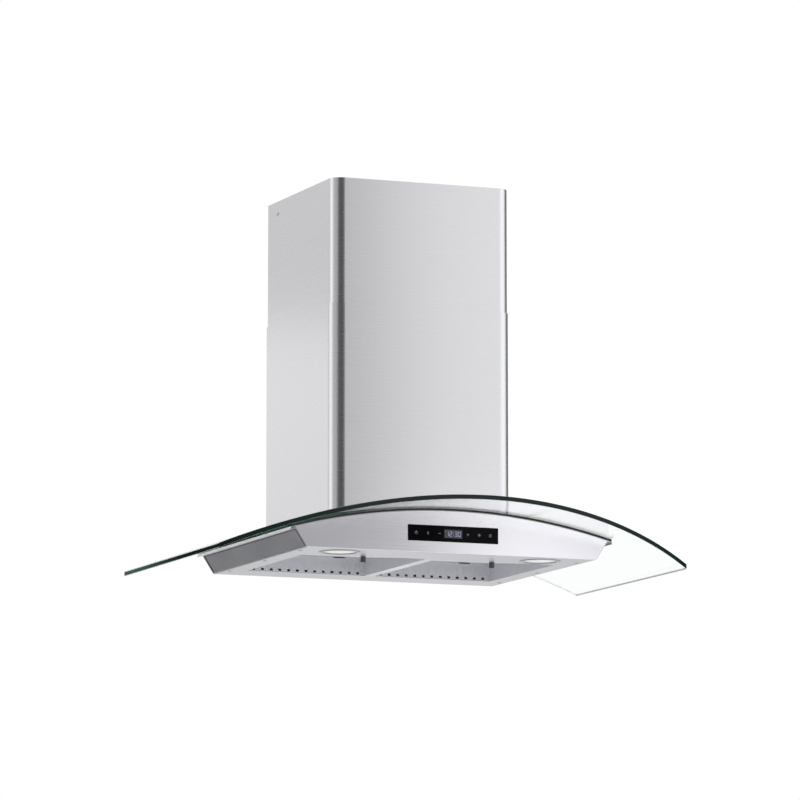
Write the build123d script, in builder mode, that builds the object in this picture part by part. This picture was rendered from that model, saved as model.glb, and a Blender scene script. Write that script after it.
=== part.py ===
from build123d import *
import os
from math import atan2, cos, degrees, hypot, radians, sin, sqrt

os.makedirs("parts", exist_ok=True)

# Curved glass range hood. Millimetres, +Z up, wall plane at Y = 0, front towards -Y.
# +X is to the right of someone who stands in front of it.
# The origin is midway between the two hanging holes, on the wall plane.
# Heights are written above the canopy's underside, and level() turns them into Z.

# ---- Driving dimensions: canopy ----
hang_height = 300.0
canopy_width = 600.0
canopy_side_slant = 23.0
canopy_depth = 475.0
crown_height = 76.0
arch_radius = 1160.0
sheet = 1.2
deck_overhang = 9.0
deck_lip = 5.0
side_border = 7.0
side_border_rise = 0.8
side_flange = 16.0
pan_screw_length = 6.0
pan_flange = 15.0

# ---- Glass ----
glass_width = 900.0
glass_thickness = 8.0
glass_side_depth = 490.0
glass_centre_depth = 625.0
glass_corner_radius = 16.0
glass_screw_rear = 60.0
glass_screw_front = 250.0
gasket_thickness = 3.0
gasket_band = 14.0
gasket_inset = 2.0

# ---- Filters ----
front_band = 105.0
rear_band = 75.0
side_band = 37.0
divider_width = 18.0
filter_gap = 1.5
filter_thickness = 9.0
filter_front_rise = 1.6
filter_rear_rise = 33.0
filter_border = 12.0
filter_rail = 38.0
filter_sheet = 1.0
baffle_pitch = 24.0
baffle_web = 16.0
baffle_leg = 5.0
tab_width = 20.0
tab_spread = 130.0
tab_reach = 6.0
tab_slot_height = 5.0
vent_slot_width = 5.5
vent_slot_height = 4.0
vent_slot_pitch = 17.0
vent_slot_rise = 4.5
vent_slots_per_side = 13

# ---- Filter latches ----
latch_width = 16.0
latch_length = 14.0
latch_travel = 5.0
latch_pocket_room = 8.0
latch_cover_room = 1.5
latch_nose_width = 12.0
latch_nose_reach = 5.0
latch_nose_thickness = 2.2
knob_width = 9.0
knob_length = 12.0
knob_drop = 12.0
slide_clearance = 0.3

# ---- Lamps ----
lamp_spacing = 386.0
lamp_setback = 58.0
lamp_hole_radius = 33.0
bezel_radius = 37.5
bezel_drop = 1.2
bezel_chamfer = 1.0
lens_radius = 29.0
lamp_body_height = 22.0
bezel_neck_top = 6.0
lens_rim = 2.0
lens_thickness = 3.0

# ---- Control panel ----
panel_width = 173.0
panel_height = 28.0
panel_rise = 20.0
panel_proud = 1.0
panel_rim = 4.0
display_width = 34.0
display_height = 15.0
display_recess = 0.2
board_thickness = 1.6
board_depth = 7.0
tray_depth = 14.0
tray_wall = 2.0
board_ledge = 4.0

# ---- Blower ----
box_width = 276.0
box_depth = 290.0
box_top = 350.0
box_sheet = 1.0
box_flange = 16.0
blower_screw_rear = 40.0
blower_screw_front = 250.0
notch_gap = 4.0
fan_axis_height = 212.0
fan_axis_setback = 112.0
impeller_radius = 85.0
impeller_inner_radius = 70.0
impeller_width = 112.0
blade_count = 36
blade_thickness = 1.0
blade_angle = 35.0
end_ring = 1.5
scroll_start_radius = 93.0
scroll_growth = 7.0
scroll_clearance = 10.0
tongue_step = 3.0
inlet_radius = 66.0
inlet_ring_radius = 82.0
inlet_ring_lip = 8.0
inlet_ring_sheet = 1.5
motor_radius = 40.0
motor_length = 78.0
motor_start = 14.0
motor_boss_length = 6.0
motor_shoulder = 4.0
motor_cap_length = 4.0
motor_cap_step = 6.0
shaft_in_motor = 22.0
shaft_radius = 4.0
shaft_clearance = 0.05
hub_radius = 12.0
hub_gap = 4.0
shaft_overhang = 3.0
shaft_end_room = 2.0
bracket_arm = 12.0
bracket_plate = 2.0
bracket_ring_width = 10.0
bracket_hub_width = 5.0
bracket_overlap = 2.0

# ---- Outlet collar and dampers ----
duct_radius = 74.5
collar_wall = 2.0
collar_height = 55.0
collar_flange = 12.0
collar_screw_offset = 57.0
collar_setback = 167.0
collar_ledge = 1.6
damper_height = 26.0
flap_thickness = 1.5
flap_gap = 1.2
pin_radius = 2.0
knuckle_wall = 1.2
knuckle_clearance = 0.08
knuckle_room = 0.8
knuckle_inset = 4.0

# ---- Chimney covers ----
cover_side_room = 37.0
cover_front_room = 19.0
chimney_top = 690.0
cover_seam = 462.0
upper_cover_length = 400.0
cover_sheet = 1.0
cover_bend = 25.0
cover_flange = 15.0
cover_clearance = 0.6
cover_lift = 0.5
bracket_height = 30.0
bracket_drop = 8.0
bracket_sheet = 1.5
bracket_reach = 40.0
bracket_tab = 22.0
bracket_gap = 2.0
clip_rise = 97.0
clip_height = 16.0
clip_width = 22.0

# ---- Electrical ----
control_box_width = 140.0
control_box_height = 90.0
control_box_depth = 26.0
control_box_rise = 205.0
control_wall = 1.5
capacitor_radius = 10.0
capacitor_length = 50.0
capacitor_side_room = 15.0
gland_bore = 3.5
gland_radius = 8.0
gland_side_room = 25.0
gland_reach = 5.0
gland_nut_height = 4.0
gland_nose_height = 10.0

# ---- Wall fixing ----
hang_spacing = 200.0
hang_hole_radius = 4.0
lower_hole_spacing = 400.0
lower_hole_radius = 3.0
lower_hole_rise = 22.0
bracket_hole_spacing = 200.0
bracket_hole_radius = 3.0

# ---- Fasteners ----
screw_radius = 2.0
screw_head_radius = 4.0
screw_head = 2.2
low_head = 1.2
washer_radius = 6.0
washer_thickness = 1.5
seat_gap = 0.02

# ---- Sizes that follow from the ones above ----
half_top = canopy_width / 2
half_bottom = half_top - canopy_side_slant
side_top = crown_height - arch_radius + sqrt((arch_radius - sheet) ** 2 - half_top**2)
side_slope_length = hypot(canopy_side_slant, side_top)
sheet_run = sheet * side_slope_length / side_top
pan_half = half_bottom - sheet_run
panel_glass = panel_proud + sheet
recess_half = half_bottom - side_band
recess_front = -(canopy_depth - front_band)
recess_rear = -rear_band
box_half = box_width / 2
notch_half = box_half + notch_gap
chimney_half = box_half + cover_side_room
chimney_depth = box_depth + control_box_depth + cover_front_room
glass_lower_radius = arch_radius + gasket_thickness
glass_upper_radius = glass_lower_radius + glass_thickness


def level(height):
    """Z of a height above the canopy's underside."""
    return height - hang_height


def arc_height(x, radius):
    """Height above the underside of the arc with the canopy's centre of curvature."""
    return crown_height - arch_radius + sqrt(radius**2 - x**2)


def arc_band(lower_radius, upper_radius, half_width, setback=0.0):
    """Front view of a sheet bent along the canopy's arch, cut square at both ends."""
    with BuildSketch(Plane.XZ.offset(setback)) as band:
        with BuildLine():
            ends = []
            for radius in (lower_radius, upper_radius):
                left = (-half_width, level(arc_height(half_width, radius)))
                right = (half_width, level(arc_height(half_width, radius)))
                ThreePointArc(left, (0, level(arc_height(0, radius))), right)
                ends.append((left, right))
            Line(ends[0][0], ends[1][0])
            Line(ends[0][1], ends[1][1])
        make_face()
    return band.sketch


def below_arc(radius, half_width, bottom, setback=0.0):
    """Front view of all that lies between a flat bottom and an arc of the canopy's arch."""
    with BuildSketch(Plane.XZ.offset(setback)) as area:
        with BuildLine():
            side = level(arc_height(half_width, radius))
            ThreePointArc((-half_width, side), (0, level(arc_height(0, radius))), (half_width, side))
            Polyline(
                (half_width, side),
                (half_width, level(bottom)),
                (-half_width, level(bottom)),
                (-half_width, side),
            )
        make_face()
    return area.sketch


def canopy_outline(setback):
    """Front view of the canopy under its deck, with sides that slant inwards going down."""
    under_deck = arch_radius - sheet
    side = level(arc_height(half_top, under_deck))
    with BuildSketch(Plane.XZ.offset(setback)) as outline:
        with BuildLine():
            ThreePointArc((-half_top, side), (0, level(arc_height(0, under_deck))), (half_top, side))
            Polyline(
                (half_top, side),
                (half_bottom, level(0)),
                (-half_bottom, level(0)),
                (-half_top, side),
            )
        make_face()
    return outline.sketch


def arch_plane(x, y, radius):
    """Plane that lies on the arch at one place, with its normal pointing outwards."""
    return Plane(
        origin=(x, y, level(arc_height(x, radius))),
        x_dir=(0, 1, 0),
        z_dir=(x / radius, 0, sqrt(1 - (x / radius) ** 2)),
    )


def arch_discs(points, radius, disc_radius, low, high, bore=0.0):
    """Discs or washers square to the arch, from low to high above the given radius."""
    with BuildPart() as discs:
        for x, y in points:
            with BuildSketch(arch_plane(x, y, radius).offset(low)):
                Circle(disc_radius)
                if bore:
                    Circle(bore, mode=Mode.SUBTRACT)
            extrude(amount=high - low)
    return discs.part


def block(x_range, y_range, height_range):
    """A rectangular block between two X, two Y and two heights above the underside."""
    with BuildPart() as solid:
        with Locations(
            (
                sum(x_range) / 2,
                sum(y_range) / 2,
                level(sum(height_range) / 2),
            )
        ):
            Box(
                abs(x_range[1] - x_range[0]),
                abs(y_range[1] - y_range[0]),
                abs(height_range[1] - height_range[0]),
            )
    return solid.part


def cross_cylinders(points, radius, start, length):
    """Cylinders along Y at several (X, height) places, from one Y towards the front."""
    with BuildPart() as pins:
        with BuildSketch(Plane.XZ.offset(-start)):
            for x, height in points:
                with Locations((x, level(height))):
                    Circle(radius)
        extrude(amount=length)
    return pins.part


def upright_cylinders(points, radius, low, high):
    """Cylinders along Z at several (X, Y) places, between two heights above the underside."""
    with BuildPart() as pins:
        with BuildSketch(Plane.XY.offset(level(low))):
            for x, y in points:
                with Locations((x, y)):
                    Circle(radius)
        extrude(amount=high - low)
    return pins.part


def side_cylinders(x_range, y, height, radius):
    """A cylinder along X between two X values."""
    with BuildPart() as pin:
        with BuildSketch(Plane.YZ.offset(min(x_range))):
            with Locations((y, level(height))):
                Circle(radius)
        extrude(amount=abs(x_range[1] - x_range[0]))
    return pin.part


def mirrored(x, y):
    """The same place on both sides of the middle plane."""
    return [(-x, y), (x, y)]


def save(builder, name):
    """Label a finished sub-part and write it as a STEP file."""
    builder.part.label = name
    export_step(builder.part, f"parts/{name}.step")


# ---- Front panel: arched sheet with an opening that the control glass fills ----
panel_half = panel_width / 2
panel_high = panel_rise + panel_height
panel_front = -(canopy_depth + panel_proud)
panel_back = panel_front + panel_glass
with BuildPart() as front_panel:
    extrude(canopy_outline(canopy_depth), amount=-sheet)
    add(
        block((-panel_half, panel_half), (-canopy_depth, panel_back), (panel_rise, panel_high)),
        mode=Mode.SUBTRACT,
    )
save(front_panel, "front_panel")

# ---- Rear panel: the same outline, with the two lower wall holes ----
lower_holes = mirrored(lower_hole_spacing / 2, lower_hole_rise)
with BuildPart() as rear_panel:
    extrude(canopy_outline(0), amount=sheet)
    add(cross_cylinders(lower_holes, lower_hole_radius, sheet, 3 * sheet), mode=Mode.SUBTRACT)
save(rear_panel, "rear_panel")

# ---- Side panels: slanted sheets with a raised border ----
side_length = canopy_depth - 2 * sheet
pan_screw_x = half_bottom - side_flange * 0.65
pan_screw_ys = [-canopy_depth * step / 8 for step in (1, 4, 7)]


def pan_screw_shafts():
    """Shafts of the screws that hold the pan to the side panels."""
    with BuildPart() as shafts:
        for side in (-1, 1):
            for y in pan_screw_ys:
                with BuildSketch(Plane(origin=(side * pan_screw_x, y, level(0)))):
                    Circle(screw_radius)
                extrude(amount=pan_screw_length)
    return shafts.part


def side_panel(side, name):
    """One slanted end panel; side is +1 for the viewer's right and -1 for the left."""
    outward = Vector(side * side_top / side_slope_length, 0, -canopy_side_slant / side_slope_length)
    middle = Vector(side * (half_top + half_bottom) / 2, -canopy_depth / 2, level(side_top / 2))
    face = Plane(origin=middle, x_dir=(0, -1, 0), z_dir=outward)
    with BuildPart() as panel:
        with BuildSketch(Plane.XZ.offset(sheet)):
            with BuildLine():
                Polyline(
                    (side * half_bottom, level(0)),
                    (side * half_top, level(side_top)),
                    (side * (half_top - sheet_run), level(side_top)),
                    (side * (half_bottom - sheet_run), level(0)),
                    close=True,
                )
            make_face()
        extrude(amount=side_length)
        with BuildSketch(face):
            Rectangle(side_length, side_slope_length - 2 * side_border_rise)
            Rectangle(
                side_length - 2 * side_border,
                side_slope_length - 2 * side_border,
                mode=Mode.SUBTRACT,
            )
        extrude(amount=side_border_rise)
        add(
            block(
                (side * half_bottom, side * (half_bottom - side_flange)),
                (-sheet - side_length, -sheet),
                (sheet, 2 * sheet),
            )
        )
        add(pan_screw_shafts(), mode=Mode.SUBTRACT)
    save(panel, name)


side_panel(-1, "side_panel_left")
side_panel(1, "side_panel_right")

# ---- Places of the screws that go through the arch ----
glass_screw_x = (notch_half + chimney_half - cover_sheet) / 2
glass_screw_points = [
    (side * glass_screw_x, y)
    for side in (-1, 1)
    for y in (-glass_screw_rear, -glass_screw_front)
]
blower_screw_points = [
    (side * (box_half - box_flange / 2), y)
    for side in (-1, 1)
    for y in (-blower_screw_rear, -blower_screw_front)
]

# ---- Top deck: arched sheet with an air opening and a turned-down lip at each side ----
deck_half = half_top + deck_overhang
opening_half = box_half - box_flange
opening_front = -(box_depth - box_flange)
opening_rear = -box_flange
deck_edge = arc_height(deck_half, arch_radius)
with BuildPart() as top_deck:
    extrude(arc_band(arch_radius - sheet, arch_radius, deck_half), amount=canopy_depth)
    add(
        block((-opening_half, opening_half), (opening_front, opening_rear), (0, 2 * crown_height)),
        mode=Mode.SUBTRACT,
    )
    for side in (-1, 1):
        add(
            block(
                (side * deck_half, side * (deck_half - sheet)),
                (-canopy_depth, 0),
                (deck_edge - deck_lip, deck_edge - sheet / 2),
            )
        )
    for points in (glass_screw_points, blower_screw_points):
        add(arch_discs(points, arch_radius, screw_radius, -3 * sheet, sheet), mode=Mode.SUBTRACT)
save(top_deck, "top_deck")

# ---- Underside pan: bottom sheet with turned-up edges round the filter recess ----
filter_run = recess_rear - recess_front - 2 * filter_gap
filter_slope = degrees(atan2(filter_rear_rise - filter_front_rise, filter_run))
wall_front_height = filter_front_rise + filter_thickness
wall_rear_height = filter_rear_rise + filter_thickness
lamp_y = -(canopy_depth - lamp_setback)


def recess_wall(x):
    """A thin upright wall along the filter recess that rises towards the rear."""
    with BuildPart() as wall:
        with BuildSketch(Plane.YZ.offset(x)):
            with BuildLine():
                Polyline(
                    (recess_front, level(0)),
                    (recess_front, level(wall_front_height)),
                    (recess_rear, level(wall_rear_height)),
                    (recess_rear, level(0)),
                    close=True,
                )
            make_face()
        extrude(amount=sheet)
    return wall.part


pan_front = -(canopy_depth - sheet)
flange_half = half_bottom - side_flange - 1
with BuildPart() as underside_pan:
    add(block((-pan_half, pan_half), (pan_front, -sheet), (0, sheet)))
    add(block((-recess_half, recess_half), (recess_front, recess_rear), (0, sheet)), mode=Mode.SUBTRACT)
    add(recess_wall(recess_half))
    add(recess_wall(-recess_half - sheet))
    add(block((-flange_half, flange_half), (pan_front, pan_front + sheet), (0, pan_flange)))
    with Locations(
        (-lamp_spacing / 2, lamp_y, level(0)),
        (lamp_spacing / 2, lamp_y, level(0)),
    ):
        Cylinder(lamp_hole_radius, 4 * sheet, mode=Mode.SUBTRACT)
    add(pan_screw_shafts(), mode=Mode.SUBTRACT)
save(underside_pan, "underside_pan")

# ---- Filter divider: channel between the two filters ----
divider_half = divider_width / 2
with BuildPart() as filter_divider:
    add(block((-divider_half, divider_half), (recess_front, recess_rear), (0, sheet)))
    add(recess_wall(divider_half - sheet))
    add(recess_wall(-divider_half))
save(filter_divider, "filter_divider")

# ---- Slotted wall at the rear of the recess, with slots for the filters' tabs ----
filter_width = recess_half - divider_half - 2 * filter_gap
filter_centre = (recess_half + divider_half) / 2
vent_top = arc_height(recess_half, arch_radius - sheet) - 1
tab_rise = filter_rear_rise + filter_sheet / 2
tab_xs = [
    side * filter_centre + offset * tab_spread / 2
    for side in (-1, 1)
    for offset in (-1, 1)
]
slot_span = (vent_slots_per_side - 1) * vent_slot_pitch
with BuildPart() as rear_vent_wall:
    add(block((-recess_half, recess_half), (recess_rear, recess_rear + sheet), (sheet, vent_top)))
    for side in (-1, 1):
        for index in range(vent_slots_per_side):
            slot_x = side * filter_centre - slot_span / 2 + index * vent_slot_pitch
            add(
                block(
                    (slot_x - vent_slot_width / 2, slot_x + vent_slot_width / 2),
                    (recess_rear, recess_rear + sheet),
                    (vent_slot_rise - vent_slot_height / 2, vent_slot_rise + vent_slot_height / 2),
                ),
                mode=Mode.SUBTRACT,
            )
    for tab_x in tab_xs:
        add(
            block(
                (tab_x - tab_width / 2 - 1, tab_x + tab_width / 2 + 1),
                (recess_rear, recess_rear + sheet),
                (tab_rise - tab_slot_height / 2, tab_rise + tab_slot_height / 2),
            ),
            mode=Mode.SUBTRACT,
        )
save(rear_vent_wall, "rear_vent_wall")

# ---- Grease filters: tilted frames with two rows of baffles, a front rail and two rear tabs ----
filter_length = filter_run / cos(radians(filter_slope))
pocket_half = latch_width / 2 + slide_clearance
pocket_start = filter_border / 3
pocket_end = pocket_start + latch_length + latch_travel + latch_pocket_room
nose_low = filter_thickness / 3
nose_high = nose_low + latch_nose_thickness


def filter_plane(side):
    """Plane of a filter's underside, with its origin on the front edge and its Y axis up the slope."""
    return Plane(
        origin=(side * filter_centre, recess_front + filter_gap, level(filter_front_rise)),
        x_dir=(1, 0, 0),
        z_dir=(0, -sin_slope, cos_slope),
    )


cos_slope = cos(radians(filter_slope))
sin_slope = sqrt(1 - cos_slope**2)


def on_filter(side, x_range, y_range, z_range):
    """A block in a filter's own tilted axes."""
    plane = filter_plane(side)
    with BuildPart() as solid:
        with BuildSketch(plane.offset(z_range[0])):
            with Locations((sum(x_range) / 2, sum(y_range) / 2)):
                Rectangle(x_range[1] - x_range[0], y_range[1] - y_range[0])
        extrude(amount=z_range[1] - z_range[0])
    return solid.part


def filter_frame(side, name):
    """Frame with a deep front rail that houses the latch, and two tabs at the rear."""
    half = filter_width / 2
    with BuildPart() as frame:
        add(on_filter(side, (-half, half), (0, filter_length), (0, filter_thickness)))
        add(
            on_filter(
                side,
                (-half + filter_border, half - filter_border),
                (filter_rail, filter_length - filter_border),
                (0, filter_thickness),
            ),
            mode=Mode.SUBTRACT,
        )
        add(
            on_filter(
                side,
                (-pocket_half, pocket_half),
                (pocket_start, pocket_end),
                (0, nose_high + latch_cover_room),
            ),
            mode=Mode.SUBTRACT,
        )
        add(
            on_filter(
                side,
                (-latch_nose_width / 2 - slide_clearance, latch_nose_width / 2 + slide_clearance),
                (0, pocket_start),
                (nose_low - slide_clearance, nose_high + slide_clearance),
            ),
            mode=Mode.SUBTRACT,
        )
        for tab_x in (-tab_spread / 2, tab_spread / 2):
            add(
                on_filter(
                    side,
                    (tab_x - tab_width / 2, tab_x + tab_width / 2),
                    (filter_length, filter_length + tab_reach),
                    (0, filter_sheet),
                )
            )
    save(frame, name)


def filter_baffles(side, name):
    """Channels that open upwards in the lower row and downwards in the upper row."""
    half = filter_width / 2 - filter_border
    start = filter_rail + filter_gap
    end = filter_length - filter_border - filter_gap
    with BuildPart() as baffles:
        first = start
        while first + baffle_web <= end:
            add(channel(side, half, first, False))
            second = first + baffle_pitch / 2
            if second + baffle_web <= end:
                add(channel(side, half, second, True))
            first += baffle_pitch
    save(baffles, name)


def channel(side, half, start, inverted):
    """One baffle channel across a filter."""
    web = (filter_thickness - filter_sheet, filter_thickness) if inverted else (0, filter_sheet)
    legs = (filter_thickness - baffle_leg, filter_thickness) if inverted else (0, baffle_leg)
    with BuildPart() as solid:
        add(on_filter(side, (-half, half), (start, start + baffle_web), web))
        for edge in (start, start + baffle_web - filter_sheet):
            add(on_filter(side, (-half, half), (edge, edge + filter_sheet), legs))
    return solid.part


def filter_latch(side, name):
    """Sliding latch: a nose that reaches over the front band and an oval knob below."""
    block_start = pocket_start + slide_clearance
    knob_middle = block_start + latch_length / 2
    with BuildPart() as latch:
        add(
            on_filter(
                side,
                (-latch_width / 2, latch_width / 2),
                (block_start, block_start + latch_length),
                (slide_clearance, nose_high),
            )
        )
        add(
            on_filter(
                side,
                (-latch_nose_width / 2, latch_nose_width / 2),
                (-latch_nose_reach, block_start + 1),
                (nose_low, nose_high),
            )
        )
        with BuildSketch(filter_plane(side).offset(1)):
            with Locations((0, knob_middle)):
                Ellipse(knob_width / 2, knob_length / 2)
        extrude(amount=-(knob_drop + 1))
    save(latch, name)


for side, side_name in ((-1, "left"), (1, "right")):
    filter_frame(side, f"filter_{side_name}_frame")
    filter_baffles(side, f"filter_{side_name}_baffles")
    filter_latch(side, f"filter_{side_name}_latch")


# ---- Lamps: bezel ring, domed lens and body above the underside ----
def lamp_profile(points, side, name):
    """Turn a half section, given as (radius, height) points, about a lamp's axis."""
    axis_x = side * lamp_spacing / 2
    with BuildPart() as piece:
        with BuildSketch(Plane(origin=(axis_x, lamp_y, level(0)), x_dir=(1, 0, 0), z_dir=(0, -1, 0))):
            with BuildLine():
                Polyline(*points, close=True)
            make_face()
        revolve(axis=Axis((axis_x, lamp_y, 0), (0, 0, 1)))
    save(piece, name)


bezel_neck = lamp_hole_radius - slide_clearance
lens_seat = lens_radius + slide_clearance
for side, side_name in ((-1, "left"), (1, "right")):
    lamp_profile(
        [
            (lens_seat, -bezel_drop + 0.6),
            (lens_seat + 1, -bezel_drop),
            (bezel_radius - bezel_chamfer, -bezel_drop),
            (bezel_radius, -0.6),
            (bezel_radius, 0),
            (bezel_neck, 0),
            (bezel_neck, bezel_neck_top),
            (lens_seat, bezel_neck_top),
        ],
        side,
        f"lamp_{side_name}_bezel",
    )
    lamp_profile(
        [
            (0, -0.6),
            (lens_radius * 0.7, -0.3),
            (lens_radius, 0.6),
            (lens_radius, bezel_neck_top),
            (lens_radius - lens_rim, bezel_neck_top),
            (lens_radius - lens_rim, lens_thickness),
            (0, lens_thickness),
        ],
        side,
        f"lamp_{side_name}_lens",
    )
    lamp_profile(
        [
            (0, bezel_neck_top),
            (bezel_neck, bezel_neck_top),
            (bezel_neck, bezel_neck_top + 2),
            (lens_radius, bezel_neck_top + 2),
            (lens_radius, lamp_body_height),
            (0, lamp_body_height),
        ],
        side,
        f"lamp_{side_name}_body",
    )

# ---- Control panel: black glass with a display window, and a tray behind it that holds the board ----
panel_middle = panel_rise + panel_height / 2
display_half = display_width / 2
display_low = panel_middle - display_height / 2
display_high = panel_middle + display_height / 2
with BuildPart() as control_fascia:
    add(block((-panel_half, panel_half), (panel_front, panel_back), (panel_rise, panel_high)))
    chamfer(control_fascia.faces().sort_by(Axis.Y)[0].edges(), length=0.3)
    add(
        block((-display_half, display_half), (panel_front, panel_back), (display_low, display_high)),
        mode=Mode.SUBTRACT,
    )
save(control_fascia, "control_fascia")

pocket_width = panel_half - panel_rim
board_seat = panel_back + board_depth
with BuildPart() as control_tray:
    add(
        block(
            (-panel_half - panel_rim, panel_half + panel_rim),
            (panel_back, panel_back + tray_depth),
            (panel_rise - 2, panel_high + 2),
        )
    )
    add(
        block(
            (-pocket_width, pocket_width),
            (panel_back, board_seat),
            (panel_rise + panel_rim, panel_high - panel_rim),
        ),
        mode=Mode.SUBTRACT,
    )
    add(
        block(
            (-pocket_width + board_ledge, pocket_width - board_ledge),
            (board_seat, panel_back + tray_depth - tray_wall),
            (panel_rise + panel_rim + tray_wall, panel_high - panel_rim - tray_wall),
        ),
        mode=Mode.SUBTRACT,
    )
save(control_tray, "control_tray")

with BuildPart() as control_board:
    add(
        block(
            (-pocket_width + slide_clearance, pocket_width - slide_clearance),
            (board_seat - board_thickness, board_seat),
            (panel_rise + panel_rim + slide_clearance, panel_high - panel_rim - slide_clearance),
        )
    )
save(control_board, "control_board")

with BuildPart() as control_display:
    add(
        block(
            (-display_half, display_half),
            (panel_front + display_recess, board_seat - board_thickness),
            (display_low, display_high),
        )
    )
save(control_display, "control_display")

# ---- Glass: bent sheet with a bowed front edge and a notch for the blower box ----
glass_half = glass_width / 2
with BuildSketch(Plane.XY.offset(level(-glass_half))) as glass_plan:
    with BuildLine():
        ThreePointArc(
            (-glass_half, -glass_side_depth),
            (0, -glass_centre_depth),
            (glass_half, -glass_side_depth),
        )
        Polyline(
            (glass_half, -glass_side_depth),
            (glass_half, 0),
            (-glass_half, 0),
            (-glass_half, -glass_side_depth),
        )
    make_face()
    fillet(glass_plan.vertices().sort_by(Axis.Y)[:2], radius=glass_corner_radius)
with BuildPart() as glass_canopy:
    # A bent blank that reaches past the plan on all sides, cut to the plan.
    blank_half = glass_half + glass_corner_radius
    blank = arc_band(glass_lower_radius, glass_upper_radius, blank_half, setback=-glass_corner_radius)
    extrude(blank, amount=glass_centre_depth + 2 * glass_corner_radius)
    extrude(glass_plan.sketch, amount=2 * glass_half + crown_height, mode=Mode.INTERSECT)
    add(
        block((-notch_half, notch_half), (-box_depth - notch_gap, 0), (0, 2 * crown_height)),
        mode=Mode.SUBTRACT,
    )
    add(
        arch_discs(glass_screw_points, arch_radius, screw_radius + 1, 0, 2 * glass_thickness),
        mode=Mode.SUBTRACT,
    )
save(glass_canopy, "glass_canopy")

# ---- Gasket: rubber frame between the deck and the glass ----
gasket_half = deck_half - gasket_inset
with BuildPart() as glass_gasket:
    extrude(arc_band(arch_radius, glass_lower_radius, gasket_half), amount=canopy_depth + gasket_inset)
    add(
        block(
            (-gasket_half + gasket_band, gasket_half - gasket_band),
            (-canopy_depth - gasket_inset + gasket_band, 0),
            (0, 2 * crown_height),
        ),
        mode=Mode.SUBTRACT,
    )
save(glass_gasket, "glass_gasket")

# ---- Pads, washers and screws that clamp the glass to the deck ----
washer_low = gasket_thickness + glass_thickness
washer_high = washer_low + washer_thickness
with BuildPart() as glass_pads:
    add(
        arch_discs(
            glass_screw_points,
            arch_radius,
            washer_radius,
            0,
            gasket_thickness - seat_gap,
            bore=screw_radius,
        )
    )
save(glass_pads, "glass_pads")

with BuildPart() as glass_washers:
    add(
        arch_discs(
            glass_screw_points,
            arch_radius,
            washer_radius,
            washer_low,
            washer_high,
            bore=screw_radius,
        )
    )
save(glass_washers, "glass_washers")

with BuildPart() as glass_screws:
    add(arch_discs(glass_screw_points, arch_radius, screw_radius, -sheet - screw_head, washer_high))
    add(
        arch_discs(
            glass_screw_points,
            arch_radius,
            screw_head_radius,
            washer_high,
            washer_high + screw_head,
        )
    )
save(glass_screws, "glass_screws")

# ---- Screws that hold the pan, with low heads under it ----
with BuildPart() as pan_screws:
    add(pan_screw_shafts())
    for side in (-1, 1):
        for y in pan_screw_ys:
            with BuildSketch(Plane(origin=(side * pan_screw_x, y, level(0)))):
                Circle(screw_head_radius)
            extrude(amount=-low_head, taper=30)
save(pan_screws, "pan_screws")


# ---- Blower box: sheet box that stands on the deck, with its rear wall on the wall plane ----
def above_arc(radius, half_width, top, setback=0.0):
    """Front view of all that lies between an arc of the canopy's arch and a flat top."""
    with BuildSketch(Plane.XZ.offset(setback)) as area:
        with BuildLine():
            side = level(arc_height(half_width, radius))
            ThreePointArc((-half_width, side), (0, level(arc_height(0, radius))), (half_width, side))
            Polyline(
                (half_width, side),
                (half_width, level(top)),
                (-half_width, level(top)),
                (-half_width, side),
            )
        make_face()
    return area.sketch


collar_bore = duct_radius - collar_wall
collar_y = -collar_setback
throat_front = -fan_axis_setback - scroll_start_radius - 3 * scroll_growth
throat_rear = -fan_axis_setback - tongue_step
scroll_half = impeller_width / 2 + scroll_clearance
collar_screw_points = [
    (corner_x * collar_screw_offset, collar_y + corner_y * collar_screw_offset)
    for corner_x in (-1, 1)
    for corner_y in (-1, 1)
]
hang_holes = mirrored(hang_spacing / 2, hang_height)
with BuildPart() as blower_box:
    extrude(above_arc(arch_radius, box_half, box_top), amount=box_depth)
    extrude(
        above_arc(arch_radius - 1, box_half - box_sheet, box_top - box_sheet, setback=box_sheet),
        amount=box_depth - 2 * box_sheet,
        mode=Mode.SUBTRACT,
    )
    extrude(arc_band(arch_radius, arch_radius + sheet, box_half - box_sheet / 2), amount=box_depth)
    add(
        block((-opening_half, opening_half), (opening_front, opening_rear), (0, 2 * crown_height)),
        mode=Mode.SUBTRACT,
    )
    add(
        arch_discs(blower_screw_points, arch_radius, screw_radius, -sheet, 3 * sheet),
        mode=Mode.SUBTRACT,
    )
    with BuildSketch(Plane.XY.offset(level(box_top - 2 * box_sheet))):
        with Locations((0, collar_y)):
            Circle(collar_bore)
        with Locations((0, (throat_front + throat_rear) / 2)):
            Rectangle(
                2 * scroll_half - 2 * sheet,
                throat_rear - throat_front - 2 * sheet,
                mode=Mode.INTERSECT,
            )
    extrude(amount=4 * box_sheet, mode=Mode.SUBTRACT)
    add(
        upright_cylinders(collar_screw_points, screw_radius, box_top - 2 * box_sheet, box_top + 1),
        mode=Mode.SUBTRACT,
    )
    add(cross_cylinders(hang_holes, hang_hole_radius, box_sheet, 3 * box_sheet), mode=Mode.SUBTRACT)
save(blower_box, "blower_box")

with BuildPart() as blower_screws:
    add(
        arch_discs(
            blower_screw_points,
            arch_radius,
            screw_radius,
            -sheet - seat_gap,
            sheet + screw_head,
        )
    )
    add(
        arch_discs(
            blower_screw_points,
            arch_radius,
            screw_head_radius,
            -sheet - screw_head,
            -sheet - seat_gap,
        )
    )
save(blower_screws, "blower_screws")

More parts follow.
